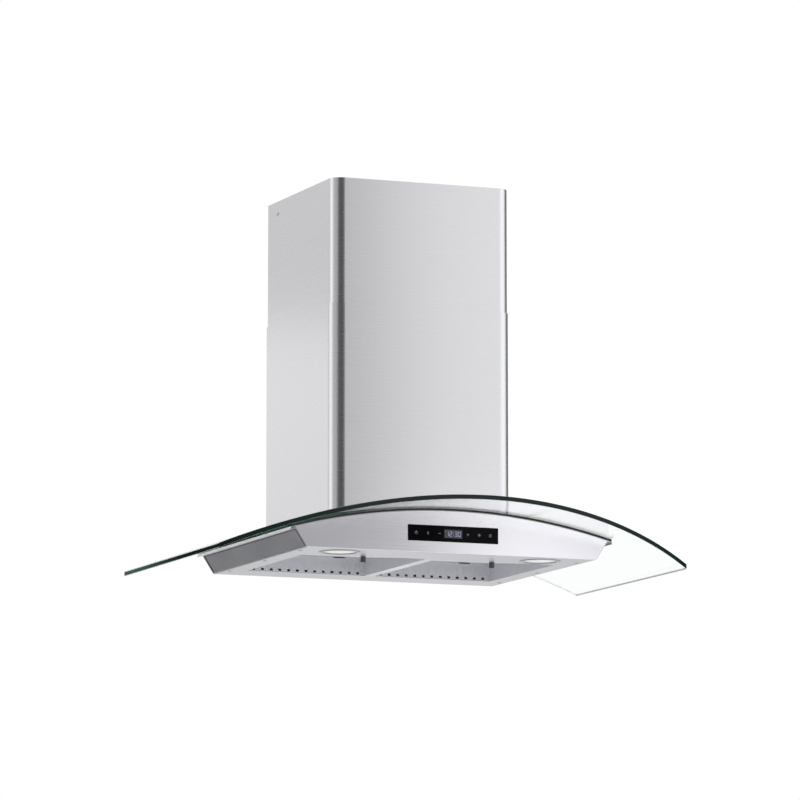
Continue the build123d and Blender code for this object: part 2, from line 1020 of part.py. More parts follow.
# ---- Scroll housing: spiral that grows from the tongue to the outlet, open at the top ----
fan_y = -fan_axis_setback
fan_z = level(fan_axis_height)
fan_axis = Axis((0, fan_y, fan_z), (1, 0, 0))
outlet_top = level(box_top - box_sheet)


def scroll_point(radius, angle):
    """Y and Z of a point of the spiral, with the angle counted from the rearward direction."""
    return (fan_y + radius * cos(radians(angle)), fan_z + radius * sin(radians(angle)))


def scroll_profile(start, inset, top):
    """Side view of the spiral and its outlet duct, drawn inwards from the outside by an inset."""
    radii = [scroll_start_radius - inset + scroll_growth * quarter for quarter in range(4)]
    with BuildSketch(Plane.YZ.offset(start)) as profile:
        with BuildLine():
            for quarter in range(3):
                angle = 90 - 90 * quarter
                ThreePointArc(
                    scroll_point(radii[quarter], angle),
                    scroll_point((radii[quarter] + radii[quarter + 1]) / 2, angle - 45),
                    scroll_point(radii[quarter + 1], angle - 90),
                )
            Polyline(
                scroll_point(radii[3], -180),
                (fan_y - radii[3], top),
                (fan_y - tongue_step - inset, top),
                (fan_y - tongue_step - inset, fan_z + radii[0]),
                scroll_point(radii[0], 90),
            )
        make_face()
    return profile.sketch


with BuildPart() as scroll_housing:
    extrude(scroll_profile(-scroll_half, 0, outlet_top), amount=2 * scroll_half)
    extrude(
        scroll_profile(-scroll_half + sheet, sheet, outlet_top + 1),
        amount=2 * (scroll_half - sheet),
        mode=Mode.SUBTRACT,
    )
    add(
        side_cylinders((-scroll_half - 1, scroll_half + 1), fan_y, fan_axis_height, inlet_radius),
        mode=Mode.SUBTRACT,
    )
save(scroll_housing, "scroll_housing")


def about_fan_axis(points):
    """A solid turned about the fan's axis from (X, radius) points."""
    with BuildPart() as turned:
        with BuildSketch(Plane(origin=(0, fan_y, fan_z))):
            with BuildLine():
                Polyline(*points, close=True)
            make_face()
        revolve(axis=fan_axis)
    return turned.part


# ---- Bell-mouthed inlet rings on both sides of the scroll ----
lip_inside = inlet_radius - slide_clearance - inlet_ring_sheet
for side, side_name in ((-1, "left"), (1, "right")):
    ring_profile = [
        (scroll_half, inlet_ring_radius),
        (scroll_half + inlet_ring_sheet, inlet_ring_radius),
        (scroll_half + inlet_ring_sheet, inlet_radius + 1),
        (scroll_half + inlet_ring_sheet / 2, lip_inside + 0.6),
        (scroll_half - inlet_ring_sheet, lip_inside),
        (scroll_half - inlet_ring_lip, lip_inside),
        (scroll_half - inlet_ring_lip, lip_inside + inlet_ring_sheet),
        (scroll_half, lip_inside + inlet_ring_sheet),
    ]
    with BuildPart() as inlet_ring:
        add(about_fan_axis([(side * x, radius) for x, radius in ring_profile]))
    save(inlet_ring, f"inlet_ring_{side_name}")

# ---- Impeller: hub, centre disc, end rings and tilted blades ----
impeller_half = impeller_width / 2
blade_middle = (impeller_radius + impeller_inner_radius) / 2
blade_chord = (impeller_radius - impeller_inner_radius) / cos(radians(blade_angle)) - 1
hub_half = motor_start - hub_gap
fan_centre = (fan_y, fan_z)
with BuildPart() as impeller:
    with BuildSketch(Plane.YZ.offset(-impeller_half)):
        with Locations(fan_centre):
            with PolarLocations(blade_middle, blade_count):
                Rectangle(blade_chord, blade_thickness, rotation=blade_angle)
    extrude(amount=impeller_width)
    for start in (-impeller_half, impeller_half - end_ring):
        with BuildSketch(Plane.YZ.offset(start)):
            with Locations(fan_centre):
                Circle(impeller_radius)
                Circle(impeller_inner_radius, mode=Mode.SUBTRACT)
        extrude(amount=end_ring)
    add(side_cylinders((-1, 1), fan_y, fan_axis_height, impeller_radius))
    add(side_cylinders((-hub_half, hub_half), fan_y, fan_axis_height, hub_radius))
    add(
        side_cylinders((-impeller_half, impeller_half), fan_y, fan_axis_height, shaft_radius),
        mode=Mode.SUBTRACT,
    )
save(impeller, "impeller")

shaft_end = motor_start + shaft_in_motor
with BuildPart() as motor_shaft:
    add(side_cylinders((-hub_half - shaft_overhang, shaft_end), fan_y, fan_axis_height, shaft_radius))
save(motor_shaft, "motor_shaft")

motor_bore = shaft_radius + shaft_clearance
motor_end = motor_start + motor_length
with BuildPart() as motor:
    add(
        about_fan_axis(
            [
                (motor_start, motor_bore),
                (motor_start, motor_radius / 2),
                (motor_start + motor_boss_length, motor_radius / 2),
                (motor_start + motor_boss_length, motor_radius - motor_shoulder),
                (motor_start + motor_boss_length + motor_shoulder, motor_radius),
                (motor_end - motor_cap_length - motor_shoulder, motor_radius),
                (motor_end - motor_cap_length, motor_radius - motor_cap_step),
                (motor_end, motor_radius - motor_cap_step),
                (motor_end, 0),
                (shaft_end + shaft_end_room, 0),
                (shaft_end + shaft_end_room, motor_bore),
            ]
        )
    )
save(motor, "motor")

# ---- Bracket that carries the motor on the right inlet ring ----
arm_inside = motor_radius + bracket_hub_width - bracket_overlap
arm_outside = inlet_ring_radius - bracket_ring_width + bracket_overlap
with BuildPart() as motor_bracket:
    with BuildSketch(Plane.YZ.offset(scroll_half + inlet_ring_sheet)):
        with Locations(fan_centre):
            Circle(inlet_ring_radius)
            Circle(inlet_ring_radius - bracket_ring_width, mode=Mode.SUBTRACT)
            with PolarLocations((arm_inside + arm_outside) / 2, 3, start_angle=90):
                Rectangle(arm_outside - arm_inside, bracket_arm)
            Circle(motor_radius + bracket_hub_width)
            Circle(motor_radius, mode=Mode.SUBTRACT)
    extrude(amount=bracket_plate)
save(motor_bracket, "motor_bracket")

# ---- Outlet collar with a damper of two flaps on one pin ----
pin_height = box_top + damper_height
ledge_top = pin_height - flap_thickness / 2 - slide_clearance
collar_base = Plane(origin=(0, collar_y, level(box_top)))
with BuildPart() as duct_collar:
    with BuildSketch(collar_base):
        Circle(duct_radius + collar_flange)
        Circle(collar_bore, mode=Mode.SUBTRACT)
    extrude(amount=collar_wall)
    with BuildSketch(collar_base):
        Circle(duct_radius)
        Circle(collar_bore, mode=Mode.SUBTRACT)
    extrude(amount=collar_height)
    with BuildSketch(Plane(origin=(0, collar_y, level(ledge_top - collar_ledge)))):
        Circle(collar_bore + collar_wall / 2)
        Circle(collar_bore - collar_ledge, mode=Mode.SUBTRACT)
    extrude(amount=collar_ledge)
    add(
        side_cylinders((-duct_radius, duct_radius), collar_y, pin_height, pin_radius),
        mode=Mode.SUBTRACT,
    )
    add(
        upright_cylinders(collar_screw_points, screw_radius, box_top - 1, box_top + 2 * collar_wall),
        mode=Mode.SUBTRACT,
    )
save(duct_collar, "duct_collar")

pin_half = collar_bore + collar_wall / 2
with BuildPart() as damper_pin:
    add(side_cylinders((-pin_half, pin_half), collar_y, pin_height, pin_radius))
save(damper_pin, "damper_pin")

knuckle_bore = pin_radius + knuckle_clearance
knuckle_radius = knuckle_bore + knuckle_wall
flap_radius = collar_bore - flap_gap
flap_edge = knuckle_radius + knuckle_room
knuckle_reach = flap_radius - knuckle_inset
knuckle_split = flap_radius / 3


def damper_flap(side, knuckles, name):
    """Half-round flap on one side of the pin; side is +1 for the rear and -1 for the front."""
    with BuildPart() as flap:
        with BuildSketch(Plane(origin=(0, collar_y, level(pin_height - flap_thickness / 2)))):
            Circle(flap_radius)
            with Locations((0, side * (flap_edge - flap_radius))):
                Rectangle(2 * flap_radius, 2 * flap_radius, mode=Mode.SUBTRACT)
            for low, high in knuckles:
                with Locations(((low + high) / 2, side * (flap_edge + 1) / 2)):
                    Rectangle(high - low, flap_edge + 1)
        extrude(amount=flap_thickness)
        for knuckle in knuckles:
            add(side_cylinders(knuckle, collar_y, pin_height, knuckle_radius))
        add(
            side_cylinders((-flap_radius, flap_radius), collar_y, pin_height, knuckle_bore),
            mode=Mode.SUBTRACT,
        )
    save(flap, name)


damper_flap(
    -1,
    [(-knuckle_reach, -knuckle_split), (knuckle_split, knuckle_reach)],
    "damper_flap_front",
)
damper_flap(1, [(-knuckle_split + 1, knuckle_split - 1)], "damper_flap_rear")

collar_top_face = box_top + collar_wall
with BuildPart() as collar_screws:
    add(
        upright_cylinders(
            collar_screw_points, screw_head_radius, collar_top_face, collar_top_face + screw_head
        )
    )
    add(upright_cylinders(collar_screw_points, screw_radius, box_top - box_sheet, collar_top_face))
save(collar_screws, "collar_screws")


# ---- Chimney covers: sheets bent to a U, with flanges along the wall ----
def cover_section(half_width, front, rear, bend, height):
    """Plan of a cover: a U with rounded front corners and two flanges at the rear."""
    with BuildSketch(Plane.XY.offset(level(height))) as section:
        with Locations((0, (front + rear) / 2)):
            Rectangle(2 * half_width, rear - front)
        fillet(section.vertices().group_by(Axis.Y)[0], radius=bend)
        offset(amount=-cover_sheet, mode=Mode.SUBTRACT)
        with Locations((0, rear)):
            Rectangle(2 * (half_width - cover_flange), 4 * cover_sheet, mode=Mode.SUBTRACT)
    return section.sketch


with BuildPart() as chimney_lower:
    extrude(cover_section(chimney_half, -chimney_depth, 0, cover_bend, 0), amount=cover_seam)
    extrude(
        below_arc(glass_upper_radius + cover_lift, chimney_half + 1, -1, setback=-1),
        amount=chimney_depth + 2,
        mode=Mode.SUBTRACT,
    )
save(chimney_lower, "chimney_lower")

nest = cover_sheet + cover_clearance
upper_half = chimney_half - nest
upper_rear = -nest
upper_front = -chimney_depth + nest
upper_low = chimney_top - upper_cover_length
bracket_high = chimney_top - bracket_drop
bracket_low = bracket_high - bracket_height
bracket_middle = bracket_high - bracket_height / 2
cover_screw_y = -bracket_reach - bracket_tab / 2
cover_screw_span = (-upper_half - 1, upper_half + 1)
with BuildPart() as chimney_upper:
    extrude(
        cover_section(upper_half, upper_front, upper_rear, cover_bend - nest, upper_low),
        amount=upper_cover_length,
    )
    add(side_cylinders(cover_screw_span, cover_screw_y, bracket_middle, screw_radius), mode=Mode.SUBTRACT)
save(chimney_upper, "chimney_upper")

# ---- Wall bracket that the upper cover is screwed to, and the two cover screws ----
bracket_half = upper_half - cover_flange - bracket_gap
tab_outside = upper_half - cover_sheet
bracket_levels = (bracket_low, bracket_high)
bracket_holes = mirrored(bracket_hole_spacing / 2, bracket_middle)
with BuildPart() as chimney_wall_bracket:
    add(block((-bracket_half, bracket_half), (-bracket_sheet, 0), bracket_levels))
    for side in (-1, 1):
        ear = side * bracket_half
        ear_inside = side * (bracket_half - bracket_sheet)
        tab = side * tab_outside
        tab_inside = side * (tab_outside - bracket_sheet)
        add(block((ear_inside, ear), (-bracket_reach, 0), bracket_levels))
        add(block((ear_inside, tab), (-bracket_reach - bracket_sheet, -bracket_reach), bracket_levels))
        add(block((tab_inside, tab), (-bracket_reach - bracket_tab, -bracket_reach), bracket_levels))
    add(side_cylinders(cover_screw_span, cover_screw_y, bracket_middle, screw_radius), mode=Mode.SUBTRACT)
    add(
        cross_cylinders(bracket_holes, bracket_hole_radius, bracket_sheet, 3 * bracket_sheet),
        mode=Mode.SUBTRACT,
    )
save(chimney_wall_bracket, "chimney_wall_bracket")

with BuildPart() as upper_cover_screws:
    for side in (-1, 1):
        tip = side * (tab_outside - bracket_sheet - 3)
        add(side_cylinders((tip, side * upper_half), cover_screw_y, bracket_middle, screw_radius))
        add(
            side_cylinders(
                (side * upper_half, side * (upper_half + low_head)),
                cover_screw_y,
                bracket_middle,
                screw_head_radius,
            )
        )
save(upper_cover_screws, "upper_cover_screws")

# ---- Spring clips on the blower box that hold the lower cover from inside, and their screws ----
clip_low = clip_rise - clip_height / 2
clip_high = clip_rise + clip_height / 2
clip_y_range = (collar_y - clip_width / 2, collar_y + clip_width / 2)
clip_inside = box_half + bracket_sheet
clip_outside = chimney_half - cover_sheet
with BuildPart() as lower_cover_clips:
    for side in (-1, 1):
        add(block((side * box_half, side * clip_inside), clip_y_range, (clip_low, clip_high)))
        add(
            block(
                (side * box_half, side * clip_outside),
                clip_y_range,
                (clip_high - bracket_sheet, clip_high),
            )
        )
        add(
            block(
                (side * (clip_outside - bracket_sheet), side * clip_outside),
                clip_y_range,
                (clip_low, clip_high),
            )
        )
        add(
            side_cylinders(
                (side * (box_half - 1), side * (clip_inside + 1)),
                collar_y,
                clip_rise,
                screw_radius,
            ),
            mode=Mode.SUBTRACT,
        )
save(lower_cover_clips, "lower_cover_clips")

with BuildPart() as clip_screws:
    for side in (-1, 1):
        add(side_cylinders((side * box_half, side * clip_inside), collar_y, clip_rise, screw_radius))
        add(
            side_cylinders(
                (side * clip_inside, side * (clip_inside + screw_head)),
                collar_y,
                clip_rise,
                screw_head_radius,
            )
        )
save(clip_screws, "clip_screws")

# ---- Control box on the front of the blower box, with its lid, cable gland and capacitor ----
control_back = -box_depth
control_front = -box_depth - control_box_depth
control_top = control_box_rise + control_box_height
control_half = control_box_width / 2
gland_x = control_half - gland_side_room
gland_y = control_back - control_box_depth / 2
gland_shank = gland_radius - 2
with BuildPart() as control_box:
    add(block((-control_half, control_half), (control_front, control_back), (control_box_rise, control_top)))
    add(
        block(
            (-control_half + control_wall, control_half - control_wall),
            (control_front, control_back - control_wall),
            (control_box_rise + control_wall, control_top - control_wall),
        ),
        mode=Mode.SUBTRACT,
    )
    add(
        upright_cylinders([(gland_x, gland_y)], gland_shank, control_top - 2 * control_wall, control_top + 1),
        mode=Mode.SUBTRACT,
    )
save(control_box, "control_box")

with BuildPart() as control_box_lid:
    add(
        block(
            (-control_half, control_half),
            (control_front - sheet, control_front),
            (control_box_rise, control_top),
        )
    )
save(control_box_lid, "control_box_lid")

gland_low = control_top - gland_reach
gland_nut_top = control_top + gland_nut_height
gland_top = gland_nut_top + gland_nose_height
with BuildPart() as cable_gland:
    add(upright_cylinders([(gland_x, gland_y)], gland_shank, gland_low, control_top))
    with BuildSketch(Plane(origin=(gland_x, gland_y, level(control_top)))):
        RegularPolygon(gland_radius, 6)
    extrude(amount=gland_nut_top - control_top)
    with BuildSketch(Plane(origin=(gland_x, gland_y, level(gland_nut_top)))):
        Circle(gland_shank)
    extrude(amount=gland_top - gland_nut_top, taper=6)
    add(
        upright_cylinders([(gland_x, gland_y)], gland_bore, gland_low - 1, gland_top + 1),
        mode=Mode.SUBTRACT,
    )
save(cable_gland, "cable_gland")

capacitor_y = control_back - control_wall - capacitor_radius
capacitor_rise = control_box_rise + control_wall + capacitor_radius
capacitor_start = -control_half + capacitor_side_room
with BuildPart() as capacitor:
    add(
        side_cylinders(
            (capacitor_start, capacitor_start + capacitor_length),
            capacitor_y,
            capacitor_rise,
            capacitor_radius,
        )
    )
save(capacitor, "capacitor")
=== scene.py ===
import bpy
import math
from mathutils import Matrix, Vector


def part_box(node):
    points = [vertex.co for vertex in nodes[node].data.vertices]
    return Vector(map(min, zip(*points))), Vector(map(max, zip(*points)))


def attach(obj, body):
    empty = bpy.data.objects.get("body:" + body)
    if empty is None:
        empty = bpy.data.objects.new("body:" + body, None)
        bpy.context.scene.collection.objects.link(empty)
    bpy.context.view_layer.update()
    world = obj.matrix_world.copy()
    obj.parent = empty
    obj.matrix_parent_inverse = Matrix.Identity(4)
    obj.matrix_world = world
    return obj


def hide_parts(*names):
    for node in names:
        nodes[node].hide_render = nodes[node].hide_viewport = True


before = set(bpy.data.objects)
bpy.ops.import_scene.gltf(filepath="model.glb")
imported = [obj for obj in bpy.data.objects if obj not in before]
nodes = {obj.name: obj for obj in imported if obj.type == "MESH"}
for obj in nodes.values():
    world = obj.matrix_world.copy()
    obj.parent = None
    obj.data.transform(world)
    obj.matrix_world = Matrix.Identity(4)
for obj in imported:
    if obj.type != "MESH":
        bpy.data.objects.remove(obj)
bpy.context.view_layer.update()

# Curved glass range hood, dressed for looking at. Metres, same frame as the solids:
# the wall is at y = 0, the front looks towards -y, the origin is between the two hanging holes.

# ---- Sizes shared with the solids ----
UNDERSIDE = -0.300
CROWN = 0.076
ARCH_RADIUS = 1.160
ARCH_AXIS_Z = UNDERSIDE + CROWN - ARCH_RADIUS
GLASS_LOWER_RADIUS = 1.163
GLASS_UPPER_RADIUS = 1.171
GLASS_HALF = 0.450
GLASS_SIDE_DEPTH = 0.490
GLASS_CENTRE_DEPTH = 0.625
GLASS_CORNER = 0.016
NOTCH_HALF = 0.142
NOTCH_DEPTH = 0.294
COVER_BEND = 0.025
COVER_NEST = 0.0016
COVER_SHEET = 0.001
COVER_FLANGE = 0.015
COVER_LIFT = 0.0005
END_SLOPE_RUN = 0.0230
END_SLOPE_RISE = 0.0353
PAN_SCREW_X = 0.2666
PAN_SCREW_YS = (-0.4156, -0.2375, -0.0594)
SCREW_HEAD_RADIUS = 0.004
SCREW_HEAD_HEIGHT = 0.0012
SCREW_SHAFT_RADIUS = 0.002
SCREW_SHAFT_LENGTH = 0.006


# ---- Small helpers for materials ----
def srgb(code):
    """Linear RGBA of an sRGB hex colour."""
    channels = [int(code[i:i + 2], 16) / 255 for i in (1, 3, 5)]
    return tuple(c / 12.92 if c <= 0.04045 else ((c + 0.055) / 1.055) ** 2.4 for c in channels) + (1.0,)


def add(tree, kind, inputs=None, **settings):
    """Add a node, set its settings, and set or link its inputs."""
    node = tree.nodes.new(kind)
    for name, value in settings.items():
        setattr(node, name, value)
    for name, value in (inputs or {}).items():
        if isinstance(value, bpy.types.NodeSocket):
            tree.links.new(value, node.inputs[name])
        else:
            node.inputs[name].default_value = value
    return node


def new_material(name):
    """An empty node material and its output node."""
    material = bpy.data.materials.new(name)
    material.use_nodes = True
    tree = material.node_tree
    tree.nodes.clear()
    return material, tree, add(tree, "ShaderNodeOutputMaterial")


def surface(tree, output, inputs):
    """Put one physically based shader on a material's output."""
    shader = add(tree, "ShaderNodeBsdfPrincipled", inputs)
    tree.links.new(shader.outputs["BSDF"], output.inputs["Surface"])


def stretched_noise(tree, cells, detail=3.0):
    """Noise on object coordinates, with its own number of cells per metre along each axis."""
    place = add(tree, "ShaderNodeTexCoord")
    mapping = add(tree, "ShaderNodeMapping", {"Vector": place.outputs["Object"], "Scale": cells})
    noise = add(
        tree,
        "ShaderNodeTexNoise",
        {"Vector": mapping.outputs["Vector"], "Scale": 1.0, "Detail": detail, "Roughness": 0.55},
    )
    return noise.outputs["Fac"]


def even_noise(tree, cells, detail):
    """Noise on object coordinates, with the same number of cells per metre along every axis."""
    return stretched_noise(tree, (cells, cells, cells), detail)


def ramped(tree, value, start, end, low=0.0, high=1.0):
    """A value that goes from low to high while another one goes from start to end."""
    ramp = add(
        tree,
        "ShaderNodeMapRange",
        {"Value": value, "From Min": start, "From Max": end, "To Min": low, "To Max": high},
    )
    return ramp.outputs["Result"]


# Nearly all of a noise lies between these two values.
NOISE_LOW = 0.3
NOISE_HIGH = 0.7


def spread(tree, value, low, high):
    """Turn a noise into a value between low and high."""
    return ramped(tree, value, NOISE_LOW, NOISE_HIGH, low, high)


def tint(tree, value, dark, light):
    """Turn a noise into a colour between dark and light."""
    ramp = add(tree, "ShaderNodeValToRGB", {"Fac": value})
    ramp.color_ramp.elements[0].position = NOISE_LOW
    ramp.color_ramp.elements[1].position = NOISE_HIGH
    ramp.color_ramp.elements[0].color = srgb(dark)
    ramp.color_ramp.elements[1].color = srgb(light)
    return ramp.outputs["Color"]


def mixed_colours(tree, factor, first, second):
    """Two colours mixed by a factor."""
    mix = add(tree, "ShaderNodeMix", {"Factor": factor, "A": first, "B": second}, data_type="RGBA")
    return mix.outputs["Result"]


def mixed_shaders(tree, factor, first, second):
    """Two shaders mixed by a factor."""
    mix = add(tree, "ShaderNodeMixShader", {0: factor})
    tree.links.new(first.outputs[0], mix.inputs[1])
    tree.links.new(second.outputs[0], mix.inputs[2])
    return mix


def bumped(tree, height, strength, distance):
    """The way that a surface faces once a fine relief is on it."""
    bump = add(tree, "ShaderNodeBump", {"Height": height, "Strength": strength, "Distance": distance})
    return bump.outputs["Normal"]


def object_axes(tree):
    """Where a point is on the object: across, as a distance from the middle, and towards the wall."""
    place = add(tree, "ShaderNodeTexCoord")
    axes = add(tree, "ShaderNodeSeparateXYZ", {"Vector": place.outputs["Object"]})
    sideways = add(tree, "ShaderNodeMath", {0: axes.outputs["X"]}, operation="ABSOLUTE")
    return sideways.outputs[0], axes.outputs["Y"]


# ---- One function for each kind of finish ----
# The brushed grain in cells per metre: its scratches and its soft shades, across and along.
SCRATCHES_ACROSS = 1000.0
SCRATCHES_ALONG = 6.0
SHADES_ACROSS = 90.0
SHADES_ALONG = 3.0

# Where the painted light and shade on the glass change: out from its middle, and back towards the wall.
WING_START = 0.22
WING_FULL = 0.34
EDGE_WING_FULL = 0.40
CORNER_START = 0.415
CORNER_FULL = 0.445
REAR_START = -0.30
REAR_FULL = -0.05

# How nearly along the sheet it is seen when its painted dark green starts to show, and when all of it does.
GLANCE_START = 0.915
GLANCE_FULL = 0.955


def brushed_steel(name, across, dark, light, base_roughness):
    """Stainless sheet with a belt-brushed finish.

    The belt leaves fine scratches along one direction; across is the axis that they follow each other on.
    Real scratches are about 0.1 mm apart; they are drawn about 1 mm apart so that they show.
    """
    material, tree, output = new_material(name)
    fine_scale = tuple(SCRATCHES_ACROSS if axis == across else SCRATCHES_ALONG for axis in "xyz")
    broad_scale = tuple(SHADES_ACROSS if axis == across else SHADES_ALONG for axis in "xyz")
    fine = stretched_noise(tree, fine_scale, detail=2.0)
    broad = stretched_noise(tree, broad_scale)
    mix = add(tree, "ShaderNodeMix", {"Factor": 0.3, "A": fine, "B": broad}, data_type="FLOAT")
    both = mix.outputs["Result"]
    surface(tree, output, {
        "Base Color": tint(tree, both, dark, light),
        "Metallic": 1.0,
        "Roughness": spread(tree, both, base_roughness - 0.03, base_roughness + 0.03),
        "Anisotropic": 0.4,
        "Normal": bumped(tree, fine, strength=0.035, distance=0.0002),
    })
    return material


def bead_blasted_steel(name, dark, light):
    """Stainless sheet blasted with fine glass beads: an even satin grey with no grain direction."""
    material, tree, output = new_material(name)
    grain = even_noise(tree, 1200.0, detail=2.0)
    cloud = stretched_noise(tree, (14.0, 9.0, 14.0))
    surface(tree, output, {
        "Base Color": tint(tree, cloud, dark, light),
        "Metallic": 1.0,
        "Roughness": spread(tree, cloud, 0.42, 0.5),
        "Normal": bumped(tree, grain, strength=0.1, distance=0.0002),
    })
    return material


def galvanised_steel():
    """Hot-dip galvanised sheet: dull zinc with faint crystal spangles a centimetre or so across."""
    material, tree, output = new_material("galvanised_sheet_steel")
    place = add(tree, "ShaderNodeTexCoord")
    spangle = add(
        tree,
        "ShaderNodeTexVoronoi",
        {"Vector": place.outputs["Object"], "Scale": 95.0, "Randomness": 1.0},
    )
    mottling = even_noise(tree, 60.0, detail=5.0)
    mixed = mixed_colours(tree, 0.55, spangle.outputs["Color"], mottling)
    value = add(tree, "ShaderNodeRGBToBW", {"Color": mixed}).outputs["Val"]
    surface(tree, output, {
        "Base Color": tint(tree, value, "#9DA1A4", "#BEC2C4"),
        "Metallic": 1.0,
        "Roughness": spread(tree, value, 0.38, 0.55),
    })
    return material


def bare_aluminium(name, dark, light, roughness, grain):
    """Bare aluminium with a fine satin grain, pressed or die-cast; grain is in cells per metre."""
    material, tree, output = new_material(name)
    noise = even_noise(tree, grain, detail=4.0)
    surface(tree, output, {
        "Base Color": tint(tree, noise, dark, light),
        "Metallic": 1.0,
        "Roughness": spread(tree, noise, roughness - 0.05, roughness + 0.06),
        "Normal": bumped(tree, noise, strength=0.08, distance=0.0003),
    })
    return material


def turned_metal(name, dark, light, roughness):
    """Zinc-plated or turned steel: bright, with a fine grain."""
    material, tree, output = new_material(name)
    noise = even_noise(tree, 900.0, detail=2.0)
    surface(tree, output, {
        "Base Color": tint(tree, noise, dark, light),
        "Metallic": 1.0,
        "Roughness": spread(tree, noise, roughness - 0.04, roughness + 0.06),
    })
    return material


def moulded_plastic(name, dark, light, roughness, grain_mm, bump_strength=0.15):
    """Plastic, rubber, enamel or ink with a fine grain."""
    material, tree, output = new_material(name)
    grain = even_noise(tree, 1000.0 / grain_mm, detail=2.0)
    cloud = even_noise(tree, 25.0, detail=3.0)
    surface(tree, output, {
        "Base Color": tint(tree, cloud, dark, light),
        "Roughness": spread(tree, cloud, roughness - 0.05, roughness + 0.08),
        "IOR": 1.49,
        "Normal": bumped(tree, grain, bump_strength, distance=0.0002),
    })
    return material


def clear_glass(name, painted_green_shows=0.0):
    """Tempered float glass: clear across its thickness.

    Where the last argument is set, the wings are painted dark green where they are seen almost along the
    sheet: painted shade in the glass's own green, weaker towards the middle.
    """
    material, tree, output = new_material(name)
    wave = stretched_noise(tree, (4.0, 9.0, 4.0), detail=1.0)
    clear = add(
        tree,
        "ShaderNodeBsdfPrincipled",
        {
            "Base Color": srgb("#FBFEFD"),
            "Roughness": 0.0,
            "IOR": 1.5,
            "Transmission Weight": 1.0,
            "Normal": bumped(tree, wave, strength=0.02, distance=0.002),
        },
    )
    slant = add(tree, "ShaderNodeLayerWeight", {"Blend": 0.5})
    along_sheet = ramped(tree, slant.outputs["Facing"], GLANCE_START, GLANCE_FULL, 0.0, painted_green_shows)
    sideways, _ = object_axes(tree)
    on_wing = ramped(tree, sideways, WING_START, WING_FULL, 0.15, 1.0)
    depth = add(tree, "ShaderNodeMath", {0: along_sheet, 1: on_wing}, operation="MULTIPLY")
    # A dark green matt surface: painted shade where the sheet is seen nearly edge-on.
    painted_deep_green = add(tree, "ShaderNodeBsdfDiffuse", {"Color": srgb("#1F5446")})
    body = mixed_shaders(tree, depth.outputs[0], clear, painted_deep_green)
    tree.links.new(body.outputs[0], output.inputs["Surface"])
    return material


def glass_edge():
    """Ground and polished edge of the sheet: green, because the light in it has run far inside the glass.

    Along it the tone is painted light and shade: nearly black along the middle of the front and round the
    corners, dark green on the wings between them, and greyer towards the wall as a painted reflection.
    """
    material, tree, output = new_material("polished_glass_edge")
    sideways, towards_wall = object_axes(tree)
    on_wing = ramped(tree, sideways, WING_START, EDGE_WING_FULL)
    at_corner = ramped(tree, sideways, CORNER_START, CORNER_FULL)
    near_wall = ramped(tree, towards_wall, REAR_START, REAR_FULL)
    front = mixed_colours(tree, on_wing, srgb("#2A2F2E"), srgb("#16261F"))
    cornered = mixed_colours(tree, at_corner, front, srgb("#121A18"))
    side = mixed_colours(tree, near_wall, cornered, srgb("#4C645B"))
    noise = even_noise(tree, 40.0, detail=2.0)
    surface(tree, output, {
        "Base Color": mixed_colours(tree, spread(tree, noise, 0.0, 0.25), side, srgb("#22332E")),
        "Roughness": 0.12,
        "IOR": 1.5,
        "Specular IOR Level": 0.0,
        "Transmission Weight": 0.02,
    })
    return material


def pale_glass_edge():
    """The same ground edge where it faces the bright side of the room: a faint grey green line."""
    material, tree, output = new_material("polished_glass_edge_pale")
    noise = even_noise(tree, 40.0, detail=2.0)
    surface(tree, output, {
        "Base Color": tint(tree, noise, "#BAC6C1", "#CAD5D0"),
        "Roughness": 0.12,
        "IOR": 1.5,
        "Transmission Weight": 0.3,
    })
    return material


def black_glass():
    """Back-painted touch glass: deep black under a clear glossy face with the faintest dust."""
    material, tree, output = new_material("back_painted_black_glass")
    dust = even_noise(tree, 700.0, detail=2.0)
    surface(tree, output, {
        "Base Color": srgb("#050507"),
        "Roughness": spread(tree, dust, 0.03, 0.09),
        "IOR": 1.52,
        "Specular IOR Level": 0.03,
    })
    return material


def frosted_lens():
    """Frosted polycarbonate lamp cover: white, softly glossy, lets light through."""
    material, tree, output = new_material("frosted_polycarbonate")
    frost = even_noise(tree, 1400.0, detail=2.0)
    surface(tree, output, {
        "Base Color": srgb("#F4F4F1"),
        "Roughness": spread(tree, frost, 0.25, 0.4),
        "IOR": 1.58,
        "Transmission Weight": 0.35,
        "Normal": bumped(tree, frost, strength=0.1, distance=0.0001),
    })
    return material


def backlit_segment():
    """Lit display segment: a pale blue glow behind a smooth film."""
    material, tree, output = new_material("backlit_display_segment")
    glow = even_noise(tree, 600.0, detail=1.0)
    surface(tree, output, {
        "Base Color": tint(tree, glow, "#8C8CA2", "#9A9AB0"),
        "Roughness": 0.3,
        "Emission Color": srgb("#B4B4D2"),
        "Emission Strength": 0.3,
    })
    return material


# ---- Materials ----
steel_front = brushed_steel("belt_brushed_stainless", "z", "#CAC9CE", "#CFCED3", 0.25)
steel_cover = brushed_steel("belt_brushed_stainless_cover", "z", "#CDCDD0", "#D2D2D5", 0.26)
steel_under = brushed_steel("belt_brushed_stainless_underside", "y", "#B2B2B5", "#BABABD", 0.36)
# Lighter than the underside steel: painted light that lifts the shade in the recess round the filters; its
# high roughness is the satin finish.
steel_recess_painted_light = brushed_steel("satin_brushed_stainless_recess_painted_light", "y", "#D2D2D6", "#DADADE", 0.66)
steel_lip = brushed_steel("belt_brushed_stainless_lip", "z", "#D2D2D4", "#DADADC", 0.36)
# The end panels are a darker grey than the front: painted shade, on their own blasted satin finish.
steel_side_painted_shade = bead_blasted_steel("bead_blasted_stainless", "#97979B", "#A1A1A5")
steel_border = bead_blasted_steel("bead_blasted_stainless_border", "#A4A4A8", "#AEAEB2")
